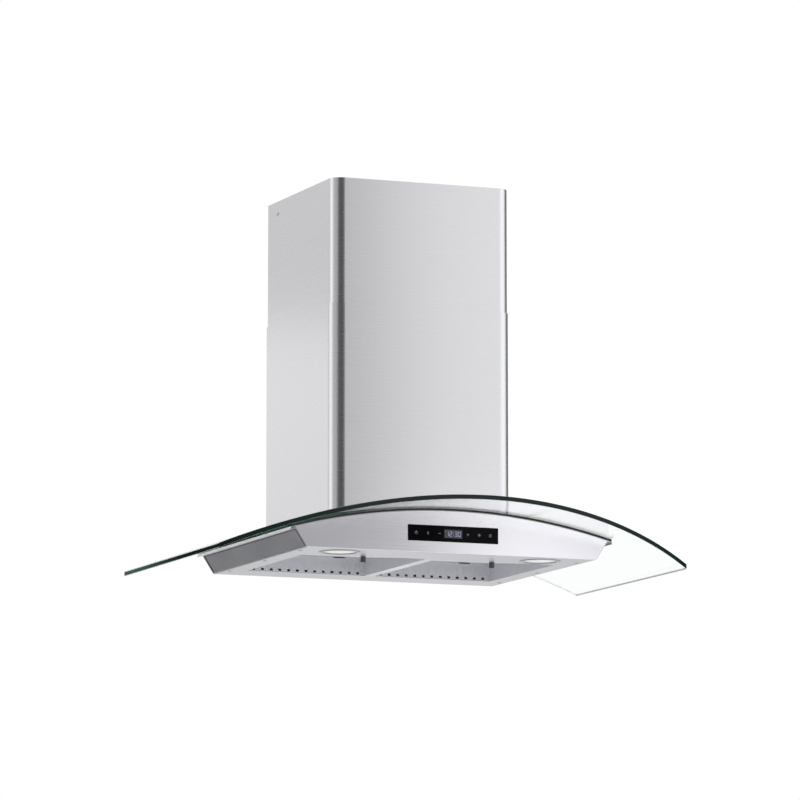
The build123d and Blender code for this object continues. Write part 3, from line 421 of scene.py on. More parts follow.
# A dark copy of the blasted steel: painted shade on the step round the end panels' field.
steel_painted_shade_step = bead_blasted_steel("bead_blasted_stainless_painted_shade_step", "#3C3C40", "#46464A")
zinc_sheet = galvanised_steel()
filter_metal = bare_aluminium("pressed_aluminium", "#B9BBBD", "#D3D5D6", 0.36, 500.0)
lamp_metal = bare_aluminium("die_cast_aluminium", "#A6A8AA", "#C0C2C4", 0.42, 900.0)
black_abs = moulded_plastic("moulded_black_abs", "#121214", "#1E1E20", 0.45, 0.8)
knob_abs = moulded_plastic("moulded_grey_abs_knob", "#2C2D30", "#3A3B3F", 0.42, 0.8)
seal_rubber = moulded_plastic("epdm_rubber", "#0E0F0E", "#1A1B1A", 0.62, 1.2)
motor_enamel = moulded_plastic("stove_enamelled_steel", "#17181A", "#222326", 0.32, 2.5, 0.3)
wheel_nylon = moulded_plastic("glass_filled_nylon", "#1B1C1E", "#2A2B2E", 0.5, 0.6)
board_resin = moulded_plastic("solder_masked_circuit_board", "#0B3D22", "#12512E", 0.3, 2.0)
capacitor_case = moulded_plastic("polypropylene_case", "#D4D3CC", "#E2E1DB", 0.4, 1.0)
display_film = moulded_plastic("display_window_film", "#2C2C38", "#363642", 0.25, 1.0, 0.02)
display_light = backlit_segment()
printed_ink = moulded_plastic("fired_ceramic_ink", "#75767C", "#828389", 0.45, 1.0, 0.02)
plated_screw = turned_metal("zinc_plated_steel", "#B8BABC", "#D6D8DA", 0.24)
lamp_ring = turned_metal("turned_stainless_ring", "#86868A", "#A2A2A6", 0.3)
float_glass = clear_glass("tempered_float_glass")
# The lower face of the glass, with the painted shade in dark green.
float_glass_painted_shade = clear_glass("tempered_float_glass_underside", painted_green_shows=0.85)
edge_glass = glass_edge()
pale_edge_glass = pale_glass_edge()
touch_glass = black_glass()
lamp_lens = frosted_lens()

# Solids that keep their own mesh and only get a finish.
FINISH = {
    zinc_sheet: ["scroll_housing"],
    lamp_metal: ["lamp_left_body", "lamp_right_body"],
    lamp_ring: ["lamp_left_bezel", "lamp_right_bezel"],
    lamp_lens: ["lamp_left_lens", "lamp_right_lens"],
    black_abs: ["inlet_ring_left", "inlet_ring_right", "cable_gland"],
    seal_rubber: ["glass_gasket", "glass_pads", "glass_washers"],
    motor_enamel: ["motor"],
    wheel_nylon: ["impeller"],
    board_resin: ["control_board"],
    capacitor_case: ["capacitor"],
    display_film: ["control_display"],
    plated_screw: [
        "glass_screws", "blower_screws", "collar_screws", "clip_screws", "motor_shaft", "damper_pin",
    ],
}
for material, names in FINISH.items():
    for name in names:
        nodes[name].data.materials.clear()
        nodes[name].data.materials.append(material)


# ---- Helpers for shaping ----
# A direction counts as along an axis when this much of it is, and a place as on a plane when this near.
ALONG = 0.9
NEAR = 0.001


def deselect_all():
    """Leave nothing selected and nothing active."""
    bpy.ops.object.select_all(action="DESELECT")
    bpy.context.view_layer.objects.active = None


def activate(*pieces):
    """Select these pieces alone, with the first one active."""
    deselect_all()
    for piece in pieces:
        piece.select_set(True)
    bpy.context.view_layer.objects.active = pieces[0]


def primitive(kind, name, place, scale=(1.0, 1.0, 1.0), **settings):
    """A primitive at its size and place, whose object stays at the origin."""
    deselect_all()
    getattr(bpy.ops.mesh, f"primitive_{kind}_add")(location=place, **settings)
    piece = bpy.context.active_object
    piece.name = name
    piece.scale = scale
    bpy.ops.object.transform_apply(location=True, rotation=True, scale=True)
    return piece


def block(name, low, high):
    """A block between two corners."""
    middle = [(a + b) / 2 for a, b in zip(low, high)]
    return primitive("cube", name, middle, [abs(b - a) for a, b in zip(low, high)], size=1.0)


def pick(piece, kind, test):
    """Select the faces, edges or corners that pass a test, and go on in edit mode."""
    activate(piece)
    bpy.ops.object.mode_set(mode="EDIT")
    bpy.ops.mesh.select_mode(type=kind)
    bpy.ops.mesh.select_all(action="DESELECT")
    bpy.ops.object.mode_set(mode="OBJECT")
    mesh = piece.data
    if kind == "FACE":
        for face in mesh.polygons:
            face.select = test(face.center, face.normal)
    if kind == "EDGE":
        for edge in mesh.edges:
            start, end = (mesh.vertices[i].co for i in edge.vertices)
            edge.select = test((start + end) / 2, (end - start).normalized())
    if kind == "VERT":
        for corner in mesh.vertices:
            corner.select = test(corner.co)
    bpy.ops.object.mode_set(mode="EDIT")


def leave_edit_mode():
    """Go back to object mode."""
    bpy.ops.object.mode_set(mode="OBJECT")


def bevel_picked(width, segments):
    """Round the picked edges and go back to object mode."""
    bpy.ops.mesh.bevel(offset=width, segments=segments, affect="EDGES")
    leave_edit_mode()


def move_picked(way):
    """Move what is picked and go back to object mode."""
    bpy.ops.transform.translate(value=way)
    leave_edit_mode()


def modify(piece, kind, **settings):
    """Add one modifier and apply it."""
    activate(piece)
    bpy.ops.object.modifier_add(type=kind)
    modifier = piece.modifiers[-1]
    for name, value in settings.items():
        setattr(modifier, name, value)
    bpy.ops.object.modifier_apply(modifier=modifier.name)


def carve(piece, cutter, operation="DIFFERENCE"):
    """Cut a shape out of a piece, join it on, or keep only what lies inside it."""
    modify(piece, "BOOLEAN", operation=operation, object=cutter, solver="EXACT")
    bpy.data.objects.remove(cutter)


def round_edges(piece, width, segments=2):
    """Break the sharp edges, and keep the flat faces looking flat."""
    modify(
        piece,
        "BEVEL",
        width=width,
        segments=segments,
        limit_method="ANGLE",
        angle_limit=math.radians(35),
        use_clamp_overlap=False,
    )
    activate(piece)
    bpy.ops.object.shade_smooth_by_angle(angle=math.radians(40))
    modify(piece, "WEIGHTED_NORMAL", keep_sharp=True)


def paint(piece, index, test):
    """Give one of a piece's materials to the faces that pass a test."""
    for face in piece.data.polygons:
        if test(face):
            face.material_index = index


def joined(name, strokes):
    """One piece from several."""
    activate(*strokes)
    bpy.ops.object.join()
    piece = bpy.context.active_object
    piece.name = name
    return piece


def hand_over(piece, material, body, replaced=()):
    """Give a finished piece its material, its body and the solids that it stands for."""
    if not piece.data.materials:
        piece.data.materials.append(material)
    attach(piece, body)
    if replaced:
        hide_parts(*replaced)
    deselect_all()


def softened(node, material, body, width=0.0004):
    """A copy of a solid with its doubles merged, its facets joined and its edges rounded."""
    activate(nodes[node])
    bpy.ops.object.duplicate()
    piece = bpy.context.active_object
    piece.name = node + "_finished"
    piece.data.materials.clear()
    bpy.ops.mesh.customdata_custom_splitnormals_clear()
    bpy.ops.object.mode_set(mode="EDIT")
    bpy.ops.mesh.select_mode(type="FACE")
    bpy.ops.mesh.select_all(action="SELECT")
    bpy.ops.mesh.remove_doubles(threshold=0.00001)
    bpy.ops.mesh.dissolve_limited(angle_limit=math.radians(0.2))
    bpy.ops.mesh.normals_make_consistent(inside=False)
    leave_edit_mode()
    round_edges(piece, width)
    hand_over(piece, material, body, [node])
    return piece


# ---- Sheet-metal pieces: the solids with broken edges ----
# Each solid with its finish, its body and how far its edges are broken.
SHEET_PIECES = [
    ("front_panel", steel_front, "canopy", 0.0005),
    ("top_deck", steel_under, "canopy", 0.0004),
    ("underside_pan", steel_under, "canopy", 0.0004),
    ("filter_divider", steel_recess_painted_light, "canopy", 0.0004),
    ("rear_vent_wall", steel_recess_painted_light, "canopy", 0.0003),
    ("rear_panel", zinc_sheet, "canopy", 0.0004),
    ("blower_box", zinc_sheet, "canopy", 0.0003),
    ("motor_bracket", zinc_sheet, "canopy", 0.0004),
    ("chimney_wall_bracket", zinc_sheet, "canopy", 0.0004),
    ("lower_cover_clips", zinc_sheet, "canopy", 0.0003),
    ("control_box", zinc_sheet, "canopy", 0.0003),
    ("control_box_lid", zinc_sheet, "canopy", 0.0003),
    ("control_tray", black_abs, "canopy", 0.0004),
    ("duct_collar", black_abs, "canopy", 0.0004),
    ("damper_flap_front", black_abs, "damper_front", 0.0003),
    ("damper_flap_rear", black_abs, "damper_rear", 0.0003),
    ("filter_left_frame", filter_metal, "filter_left", 0.0004),
    ("filter_right_frame", filter_metal, "filter_right", 0.0004),
    ("filter_left_baffles", filter_metal, "filter_left", 0.0003),
    ("filter_right_baffles", filter_metal, "filter_right", 0.0003),
    ("filter_left_latch", knob_abs, "latch_left", 0.0008),
    ("filter_right_latch", knob_abs, "latch_right", 0.0008),
]
sheet_pieces = {}
for node, material, body, width in SHEET_PIECES:
    sheet_pieces[node] = softened(node, material, body, width)

# How far above the pan's flat its walls start, and how far out from the middle those round the filters are.
PAN_WALL_START = 0.003
FILTER_WALLS_HALF = 0.245

# How far in from the deck's sides its lips are found.
LIP_ZONE = 0.002

# How much further the slotted wall reaches, to end behind the walls beside it.
VENT_WALL_REACH = 0.0009


def finish_pan_walls(pan):
    """Give the pan's turned-up walls round the filters the soft satin finish of the wall behind them, whose
    lighter grey is painted light.
    """
    pan.data.materials.append(steel_recess_painted_light)
    wall_start = UNDERSIDE + PAN_WALL_START
    paint(pan, 1, lambda face: face.center.z > wall_start and abs(face.center.x) < FILTER_WALLS_HALF)


def finish_deck_lips(deck):
    """Make the deck's turned-down side lips brighter than its flat, as they catch more light."""
    deck.data.materials.append(steel_lip)
    lip_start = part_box("top_deck")[1][0] - LIP_ZONE
    paint(deck, 1, lambda face: abs(face.center.x) > lip_start)


def widen_vent_wall(wall):
    """Let the slotted wall reach behind the ends of the walls beside it."""
    wall_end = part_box("rear_vent_wall")[1][0]
    for side in (-1, 1):
        pick(wall, "VERT", lambda corner: corner.x * side > wall_end - NEAR)
        move_picked((side * VENT_WALL_REACH, 0, 0))
    deselect_all()


finish_pan_walls(sheet_pieces["underside_pan"])
finish_deck_lips(sheet_pieces["top_deck"])
widen_vent_wall(sheet_pieces["rear_vent_wall"])

# ---- End panels: blasted inside a narrow raised border, with painted shade on the step under its top and along its ends ----
BORDER_RISE = 0.0008
BORDER_TRIM = 0.0045
TOP_TRIM = 0.0022
# The painted shade round the field: the width of its band, and how much further in it reaches at the panel's
# ends.
STEP_INSET = 0.0012
END_SHADE = 0.0040

# The border's inner corners lie further in from its edges than the first of these,
# and less far than the second, at its top and bottom, or the third, at its ends.
INNER_START = 0.005
INNER_END_ACROSS = 0.012
INNER_END_ALONG = 0.1

# The step's corners lie between these distances in from the panel's ends.
STEP_START = 0.0032
STEP_END = 0.0050

# The painted shade round the step ends this far below the middle of the field.
STEP_DROP = 0.005

# A place counts as at a level when it is this near, and as above it when it is no further below than this.
LEVEL = 0.0002
BARELY_BELOW = 0.0003

# The field faces outwards at least this much; the slants round it face outwards less.
SQUARE = 0.99
BACKWARD = Vector((0, 1, 0))


def trim_border(panel, rim, outward, upward, field_face):
    """Move the border's inner corners towards its edges, which makes it narrower."""
    trims = [
        (-upward, INNER_END_ACROSS, BORDER_TRIM),
        (upward, INNER_END_ACROSS, TOP_TRIM),
        (-BACKWARD, INNER_END_ALONG, BORDER_TRIM),
        (BACKWARD, INNER_END_ALONG, BORDER_TRIM),
    ]
    for way, inner_end, trim in trims:
        edge = max(corner.dot(way) for corner in rim)
        pick(
            panel,
            "VERT",
            lambda corner: corner.dot(outward) > field_face - BARELY_BELOW
            and INNER_START < edge - corner.dot(way) < inner_end,
        )
        move_picked(way * trim)


def inset_field(panel, rim, outward, field_face):
    """Draw a narrow step round the field, and widen it at the panel's ends, to carry the painted shade."""
    pick(
        panel,
        "FACE",
        lambda middle, normal: abs(middle.dot(outward) - field_face) < LEVEL and normal.dot(outward) > SQUARE,
    )
    bpy.ops.mesh.inset(thickness=STEP_INSET)
    leave_edit_mode()
    for way in (-BACKWARD, BACKWARD):
        edge = max(corner.dot(way) for corner in rim)
        pick(
            panel,
            "VERT",
            lambda corner: abs(corner.dot(outward) - field_face) < LEVEL
            and STEP_START < edge - corner.dot(way) < STEP_END,
        )
        move_picked(-way * END_SHADE)
    modify(panel, "WEIGHTED_NORMAL", keep_sharp=True)


def paint_end_panel(panel, outward, border_face, field_face):
    """Give the border its own material and the step its painted shade; the field, the largest face, keeps the
    first one.
    """
    faces = panel.data.polygons
    level_faces = [face for face in faces if abs(face.center.dot(outward) - field_face) < LEVEL]
    field = max(level_faces, key=lambda face: face.area)
    step_low = field.center.z - STEP_DROP
    for face in faces:
        height = face.center.dot(outward)
        # The step and its band above the field's lower part get the painted shade.
        in_painted_shade = height > field_face - LEVEL and face.center.z > step_low
        if height > border_face - BARELY_BELOW:
            face.material_index = 1
        elif in_painted_shade and face.index != field.index:
            face.material_index = 2


def end_panel(node, side):
    """One end panel; its material slots are the field, the border and the painted shade on the step between
    them.
    """
    panel = softened(node, steel_side_painted_shade, "canopy")
    panel.data.materials.append(steel_border)
    panel.data.materials.append(steel_painted_shade_step)
    outward = Vector((side * END_SLOPE_RISE, 0, -END_SLOPE_RUN)).normalized()
    upward = Vector((side * END_SLOPE_RUN, 0, END_SLOPE_RISE)).normalized()
    corners = [corner.co.copy() for corner in panel.data.vertices]
    border_face = max(corner.dot(outward) for corner in corners)
    field_face = border_face - BORDER_RISE
    rim = [corner for corner in corners if corner.dot(outward) > border_face - LEVEL]
    trim_border(panel, rim, outward, upward, field_face)
    inset_field(panel, rim, outward, field_face)
    paint_end_panel(panel, outward, border_face, field_face)
    deselect_all()


end_panel("side_panel_left", -1)
end_panel("side_panel_right", 1)

# ---- Glass sheet: a slab bent along the arch, trimmed to its plan, with polished edges ----
GROUND_EDGE = 0.0012
PRISM_HEIGHT = 0.5

# How far a shape that cuts another one reaches beyond it.
SPARE = 0.02

# A face belongs to the sheet's edge when it faces less than this across the sheet,
# and to the pale part of it when it faces this much to the right or to the wall.
ACROSS_SHEET = 0.7
TO_BRIGHT_SIDE = 0.8

# The ground corners of the left side edge: how near to it they lie, how far from the wall they start,
# and between which two amounts they face up or down.
SIDE_ZONE = 0.002
WALL_ZONE = 0.003
GROUND_LOW = 0.15
GROUND_HIGH = 0.85


def bent_slab(name, inner, outer, half_width, front, back, steps):
    """A slab bent along the hood's arch, swept round the arch's axis."""
    half_turn = math.asin(half_width / inner)
    slab = primitive(
        "plane",
        name,
        (0, (front + back) / 2, ARCH_AXIS_Z + (inner + outer) / 2),
        (outer - inner, back - front, 1),
        size=1.0,
        rotation=(0, math.pi / 2, 0),
    )
    pick(slab, "FACE", lambda middle, normal: True)
    bpy.ops.mesh.delete(type="ONLY_FACE")
    bpy.ops.mesh.select_mode(type="EDGE")
    bpy.ops.mesh.select_all(action="SELECT")
    bpy.ops.transform.rotate(
        value=-half_turn, orient_axis="Y", orient_type="GLOBAL", center_override=(0, 0, ARCH_AXIS_Z)
    )
    bpy.ops.mesh.spin(steps=steps, angle=2 * half_turn, center=(0, 0, ARCH_AXIS_Z), axis=(0, 1, 0))
    bpy.ops.mesh.select_all(action="SELECT")
    bpy.ops.mesh.remove_doubles(threshold=0.00001)
    bpy.ops.mesh.fill_holes(sides=4)
    bpy.ops.mesh.normals_make_consistent(inside=False)
    leave_edit_mode()
    return slab


def glass_plan(name):
    """A tall prism with the sheet's outline seen from above: straight sides and back, bowed front."""
    sagitta = GLASS_CENTRE_DEPTH - GLASS_SIDE_DEPTH
    bow = (GLASS_HALF**2 + sagitta**2) / (2 * sagitta)
    prism = primitive(
        "cylinder",
        name,
        (0, bow - GLASS_CENTRE_DEPTH, -PRISM_HEIGHT / 2),
        vertices=900,
        radius=bow,
        depth=PRISM_HEIGHT,
    )
    cuts = [
        ((GLASS_HALF, 0, 0), (1, 0, 0)),
        ((-GLASS_HALF, 0, 0), (-1, 0, 0)),
        ((0, 0, 0), (0, 1, 0)),
    ]
    for place, direction in cuts:
        pick(prism, "FACE", lambda middle, normal: True)
        bpy.ops.mesh.bisect(plane_co=place, plane_no=direction, clear_outer=True, use_fill=True)
        leave_edit_mode()
    pick(
        prism,
        "EDGE",
        lambda middle, run: abs(run.z) > ALONG
        and abs(middle.x) > GLASS_HALF - NEAR
        and middle.y < -GLASS_SIDE_DEPTH / 2,
    )
    bevel_picked(GLASS_CORNER, segments=10)
    return prism


def glass_sheet():
    """The bent sheet; its material slots are the upper face, dark edge, pale edge and lower face."""
    glass = bent_slab(
        "glass_sheet",
        GLASS_LOWER_RADIUS,
        GLASS_UPPER_RADIUS,
        GLASS_HALF + SPARE,
        -GLASS_CENTRE_DEPTH - SPARE,
        SPARE,
        steps=120,
    )
    carve(glass, glass_plan("glass_outline"), "INTERSECT")
    notch = block(
        "blower_notch",
        (-NOTCH_HALF, -NOTCH_DEPTH, UNDERSIDE - SPARE),
        (NOTCH_HALF, SPARE, UNDERSIDE + CROWN + SPARE),
    )
    carve(glass, notch)
    for material in (float_glass, edge_glass, pale_edge_glass, float_glass_painted_shade):
        glass.data.materials.append(material)
    for face in glass.data.polygons:
        outward = Vector((face.center.x, 0, face.center.z - ARCH_AXIS_Z)).normalized()
        if abs(face.normal.dot(outward)) < ACROSS_SHEET:
            face.material_index = 2 if max(face.normal.x, face.normal.y) > TO_BRIGHT_SIDE else 1
        elif face.normal.z < 0:
            face.material_index = 3
    round_edges(glass, GROUND_EDGE)

    # The ground corners of the left side edge catch the light.
    paint(
        glass,
        2,
        lambda face: face.center.x < -GLASS_HALF + SIDE_ZONE
        and GROUND_LOW < abs(face.normal.z) < GROUND_HIGH
        and face.center.y < -WALL_ZONE,
    )
    hand_over(glass, float_glass, "canopy", ["glass_canopy"])


glass_sheet()

# ---- Chimney covers: folded steel with soft bends ----
FLANGE_BEND = 0.002
COVER_EDGE = 0.00025
SCREW_HOLE_RADIUS = 0.0022
SCREW_HOLE_LENGTH = 0.02

# The bent slab that takes the glass's room out of the lower cover is larger than the cover all round.
CLEARANCE_INNER_RADIUS = 1.0
CLEARANCE_HALF = 0.2
CLEARANCE_FRONT = -0.4
CLEARANCE_BACK = 0.05

# Where the upper cover's two screws sit: they share a height and a depth, one on each side.
screws_low, screws_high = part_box("upper_cover_screws")
COVER_SCREW_Y = (screws_low[1] + screws_high[1]) / 2
COVER_SCREW_Z = (screws_low[2] + screws_high[2]) / 2
COVER_SCREW_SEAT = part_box("chimney_upper")[1][0]


def pick_upright_edges(piece, test):
    """Select the upright edges whose middle passes a test."""
    pick(piece, "EDGE", lambda middle, run: abs(run.z) > ALONG and test(middle))


def folded_cover(node, name, bend):
    """A three-sided cover folded from one sheet, open at the top, bottom and wall."""
    low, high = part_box(node)
    cover = block(name, low, high)
    pick(cover, "FACE", lambda middle, normal: abs(normal.z) > ALONG or normal.y > ALONG)
    bpy.ops.mesh.delete(type="FACE")
    leave_edit_mode()
    for side in (-1, 1):
        pick_upright_edges(cover, lambda middle: middle.y > high[1] - NEAR and middle.x * side > 0)
        bpy.ops.mesh.extrude_region_move(TRANSFORM_OT_translate={"value": (-side * COVER_FLANGE, 0, 0)})
        leave_edit_mode()
    pick_upright_edges(cover, lambda middle: abs(middle.x) > high[0] - NEAR and middle.y < low[1] + NEAR)
    bevel_picked(bend, segments=20)
    pick_upright_edges(cover, lambda middle: abs(middle.x) > high[0] - NEAR and middle.y > high[1] - NEAR)
    bpy.ops.mesh.bevel(offset=FLANGE_BEND, segments=4, affect="EDGES")
    bpy.ops.mesh.select_all(action="SELECT")
    bpy.ops.mesh.normals_make_consistent(inside=False)
    leave_edit_mode()
    modify(cover, "SOLIDIFY", thickness=COVER_SHEET, offset=-1.0)
    return cover


def upper_chimney_cover():
    """The sliding cover, which fits inside the lower one, with a screw hole in each side."""
    cover = folded_cover("chimney_upper", "upper_cover_sheet", COVER_BEND - COVER_NEST)
    for side in (-1, 1):
        hole = primitive(
            "cylinder",
            "screw_hole",
            (side * COVER_SCREW_SEAT, COVER_SCREW_Y, COVER_SCREW_Z),
            radius=SCREW_HOLE_RADIUS,
            depth=SCREW_HOLE_LENGTH,
            rotation=(0, math.pi / 2, 0),
            vertices=24,
        )
        carve(cover, hole)
    round_edges(cover, COVER_EDGE)
    hand_over(cover, steel_cover, "upper_cover", ["chimney_upper"])


def lower_chimney_cover():
    """The fixed cover, cut along its bottom to stand just clear of the bent glass."""
    cover = folded_cover("chimney_lower", "lower_cover_sheet", COVER_BEND)
    glass_clearance = bent_slab(
        "glass_clearance",
        CLEARANCE_INNER_RADIUS,
        GLASS_UPPER_RADIUS + COVER_LIFT,
        CLEARANCE_HALF,
        CLEARANCE_FRONT,
        CLEARANCE_BACK,
        steps=60,
    )
    carve(cover, glass_clearance)
    round_edges(cover, COVER_EDGE)
    hand_over(cover, steel_cover, "canopy", ["chimney_lower"])


upper_chimney_cover()
lower_chimney_cover()

# ---- Control panel: touch glass with ground edges, printed marks and a display ----
PANEL_CORNER = 0.0008
PANEL_EDGE = 0.0003
INK_THICKNESS = 0.0002
STROKE_ROUNDING = 0.35
RING_CORE_LENGTH = 0.01

# How far in front of the display the middle of its lit strokes is.
LIT_RISE = 0.00005

panel_low, panel_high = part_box("control_fascia")
display_low, display_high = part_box("control_display")
PANEL_MIDDLE = (panel_low[2] + panel_high[2]) / 2
INK_FRONT = panel_low[1] - INK_THICKNESS
DISPLAY_FRONT = display_low[1] - LIT_RISE


def touch_panel():
    """The panel's black glass, with a window as large as the display behind it."""
    panel = block("touch_panel_glass", panel_low, panel_high)
    pick(panel, "EDGE", lambda middle, run: abs(run.y) > ALONG)
    bevel_picked(PANEL_CORNER, segments=4)
    window = block(
        "display_window",
        (display_low[0], panel_low[1] - SPARE, display_low[2]),
        (display_high[0], panel_high[1] + SPARE, display_high[2]),
    )
    carve(panel, window)
    round_edges(panel, PANEL_EDGE)
    hand_over(panel, touch_glass, "canopy", ["control_fascia"])


def bar(x, z, length, thickness, turn=0.0, front=INK_FRONT):
    """One flat printed stroke on the panel, with softened corners."""
    stroke = primitive(
        "cube",
        "stroke",
        (x, front, z),
        (length, INK_THICKNESS, thickness),
        size=1.0,
        rotation=(0, turn, 0),
    )
    pick(stroke, "EDGE", lambda middle, run: abs(run.y) > ALONG)
    bevel_picked(thickness * STROKE_ROUNDING, segments=2)
    return stroke


def flat_disc(name, x, z, radius, depth):
    """A disc that faces the front of the panel."""
    return primitive(
        "cylinder",
        name,
        (x, INK_FRONT, z),
        radius=radius,
        depth=depth,
        rotation=(math.pi / 2, 0, 0),
        vertices=32,
    )


def ring(x, z, radius, thickness):
    """One flat printed ring."""
    band = flat_disc("ring", x, z, radius, INK_THICKNESS)
    carve(band, flat_disc("ring_core", x, z, radius - thickness, RING_CORE_LENGTH))
    return band


# ---- Printed touch marks: one function for each, in a row at the panel's mid height ----
UPRIGHT = math.pi / 2
SIXTH_TURN = math.pi / 3


def power_mark(x):
    """A ring with an upright stroke over its top."""
    return [
        ring(x, PANEL_MIDDLE, radius=0.0026, thickness=0.0006),
        bar(x, PANEL_MIDDLE + 0.0022, length=0.0028, thickness=0.0007, turn=UPRIGHT),
    ]


def lamp_mark(x):
    """A small bulb over its cap."""
    return [
        ring(x, PANEL_MIDDLE + 0.0005, radius=0.0018, thickness=0.0006),
        bar(x, PANEL_MIDDLE - 0.0024, length=0.0020, thickness=0.0006),
    ]


def slower_mark(x):
    """A minus."""
    return [bar(x, PANEL_MIDDLE, length=0.0048, thickness=0.0007)]


def faster_mark(x):
    """A plus."""
    return slower_mark(x) + [bar(x, PANEL_MIDDLE, length=0.0048, thickness=0.0007, turn=UPRIGHT)]


def fan_mark(x):
    """Three strokes crossed like the blades of a fan."""
    turns = (0.0, SIXTH_TURN, -SIXTH_TURN)
    return [bar(x, PANEL_MIDDLE, length=0.0056, thickness=0.0009, turn=turn) for turn in turns]


def timer_mark(x):
    """A clock face with two hands."""
    return [
        ring(x, PANEL_MIDDLE, radius=0.0026, thickness=0.0006),
        bar(x, PANEL_MIDDLE + 0.0008, length=0.0018, thickness=0.0005, turn=UPRIGHT),
        bar(x + 0.0007, PANEL_MIDDLE, length=0.0016, thickness=0.0005),
    ]


TOUCH_MARKS = [
    (power_mark, -0.0710),
    (lamp_mark, -0.0486),
    (slower_mark, -0.0263),
    (faster_mark, 0.0280),
    (fan_mark, 0.0496),
    (timer_mark, 0.0710),
]


def touch_marks():
    """All the marks printed on the panel, as one piece."""
    strokes = []
    for mark, x in TOUCH_MARKS:
        strokes += mark(x)
    hand_over(joined("printed_touch_marks", strokes), printed_ink, "canopy")


# ---- Display: four lit digits with a colon between them ----
# Segments of a digit: how many half digits across and up they lie, and whether they stand upright.
SEGMENTS = {
    "top": (0, 1, False),
    "middle": (0, 0, False),
    "bottom": (0, -1, False),
    "upper_left": (-1, 0.5, True),
    "upper_right": (1, 0.5, True),
    "lower_left": (-1, -0.5, True),
    "lower_right": (1, -0.5, True),
}
DIGITS = {
    "0": ["top", "bottom", "upper_left", "upper_right", "lower_left", "lower_right"],
    "1": ["upper_right", "lower_right"],
    "2": ["top", "middle", "bottom", "upper_right", "lower_left"],
    "3": ["top", "middle", "bottom", "upper_right", "lower_right"],
}
SHOWN_DIGITS = [("1", -0.0115), ("2", -0.0050), ("3", 0.0050), ("0", 0.0115)]
DIGIT_HALF_WIDTH = 0.0021
DIGIT_HALF_HEIGHT = 0.0040
SEGMENT_LENGTH = 0.0034
SEGMENT_THICKNESS = 0.0008
COLON_DOT = 0.0009
COLON_RISE = 0.002


def lit_segment(x, across, up, upright):
    """One segment of the digit whose middle is at x."""
    return bar(
        x + across * DIGIT_HALF_WIDTH,
        PANEL_MIDDLE + up * DIGIT_HALF_HEIGHT,
        SEGMENT_LENGTH,
        SEGMENT_THICKNESS,
        UPRIGHT if upright else 0.0,
        DISPLAY_FRONT,
    )


def display_digits():
    """The lit digits and their colon, as one piece."""
    lit = []
    for digit, x in SHOWN_DIGITS:
        lit += [lit_segment(x, *SEGMENTS[name]) for name in DIGITS[digit]]
    for rise in (-COLON_RISE, COLON_RISE):
        lit.append(bar(0, PANEL_MIDDLE + rise, COLON_DOT, COLON_DOT, front=DISPLAY_FRONT))
    hand_over(joined("display_digits", lit), display_light, "canopy")


touch_panel()
touch_marks()
display_digits()

# ---- Screws with a turned dome and a cross recess ----
# The dome as a share of the head's height, and the cross's arms as shares of the head's radius.
DOME = 0.6
CROSS_LENGTH = 1.1
CROSS_WIDTH = 0.24

# How deep the crosses are cut, as shares of the head's height.
PAN_SCREW_RECESS = 0.5
COVER_SCREW_RECESS = 0.15


def cross_screw(name, recess):
    """A pan-head screw with its head up, seated at the origin: a dome with a cross, on a plain shaft."""
    head = primitive(
        "cylinder",
        name,
        (0, 0, SCREW_HEAD_HEIGHT / 2),
        radius=SCREW_HEAD_RADIUS,
        depth=SCREW_HEAD_HEIGHT,
        vertices=32,
    )
    pick(head, "FACE", lambda middle, normal: normal.z > ALONG)
    bevel_picked(SCREW_HEAD_HEIGHT * DOME, segments=4)
    for turn in (0.0, math.pi / 2):
        cross_arm = primitive(
            "cube",
            "recess",
            (0, 0, SCREW_HEAD_HEIGHT),
            (
                SCREW_HEAD_RADIUS * CROSS_LENGTH,
                SCREW_HEAD_RADIUS * CROSS_WIDTH,
                SCREW_HEAD_HEIGHT * 2 * recess,
            ),
            size=1.0,
            rotation=(0, 0, turn),
        )
        carve(head, cross_arm)
    shaft = primitive(
        "cylinder",
        "shaft",
        (0, 0, -SCREW_SHAFT_LENGTH / 2),
        radius=SCREW_SHAFT_RADIUS,
        depth=SCREW_SHAFT_LENGTH,
        vertices=24,
    )
    carve(head, shaft, "UNION")
    activate(head)
    bpy.ops.object.shade_smooth_by_angle(angle=math.radians(35))
    return head


def screw_set(name, recess, seats):
    """One screw modelled and copied to each seat, given as a place and the way that its head faces."""
    screw = cross_screw(name, recess)
    copies = []
    for place, direction in seats:
        activate(screw)
        bpy.ops.object.duplicate()
        copy = bpy.context.active_object
        copy.rotation_euler = Vector(direction).to_track_quat("Z", "Y").to_euler()
        copy.location = place
        bpy.ops.object.transform_apply(location=True, rotation=True, scale=True)
        copies.append(copy)
    bpy.data.objects.remove(screw)
    return joined(name, copies)


pan_seats = [((x, y, UNDERSIDE), (0, 0, -1)) for x in (-PAN_SCREW_X, PAN_SCREW_X) for y in PAN_SCREW_YS]
pan_screw_set = screw_set("pan_screw_set", PAN_SCREW_RECESS, pan_seats)
hand_over(pan_screw_set, steel_under, "canopy", ["pan_screws"])

cover_seats = [((side * COVER_SCREW_SEAT, COVER_SCREW_Y, COVER_SCREW_Z), (side, 0, 0)) for side in (-1, 1)]
cover_screw_set = screw_set("cover_screw_set", COVER_SCREW_RECESS, cover_seats)
hand_over(cover_screw_set, steel_cover, "upper_cover", ["upper_cover_screws"])

# ---- Floor, light and camera ----
FLOOR_Z = -1.9
FLOOR_SIZE = 5.0
WHITE = (1, 1, 1, 1)


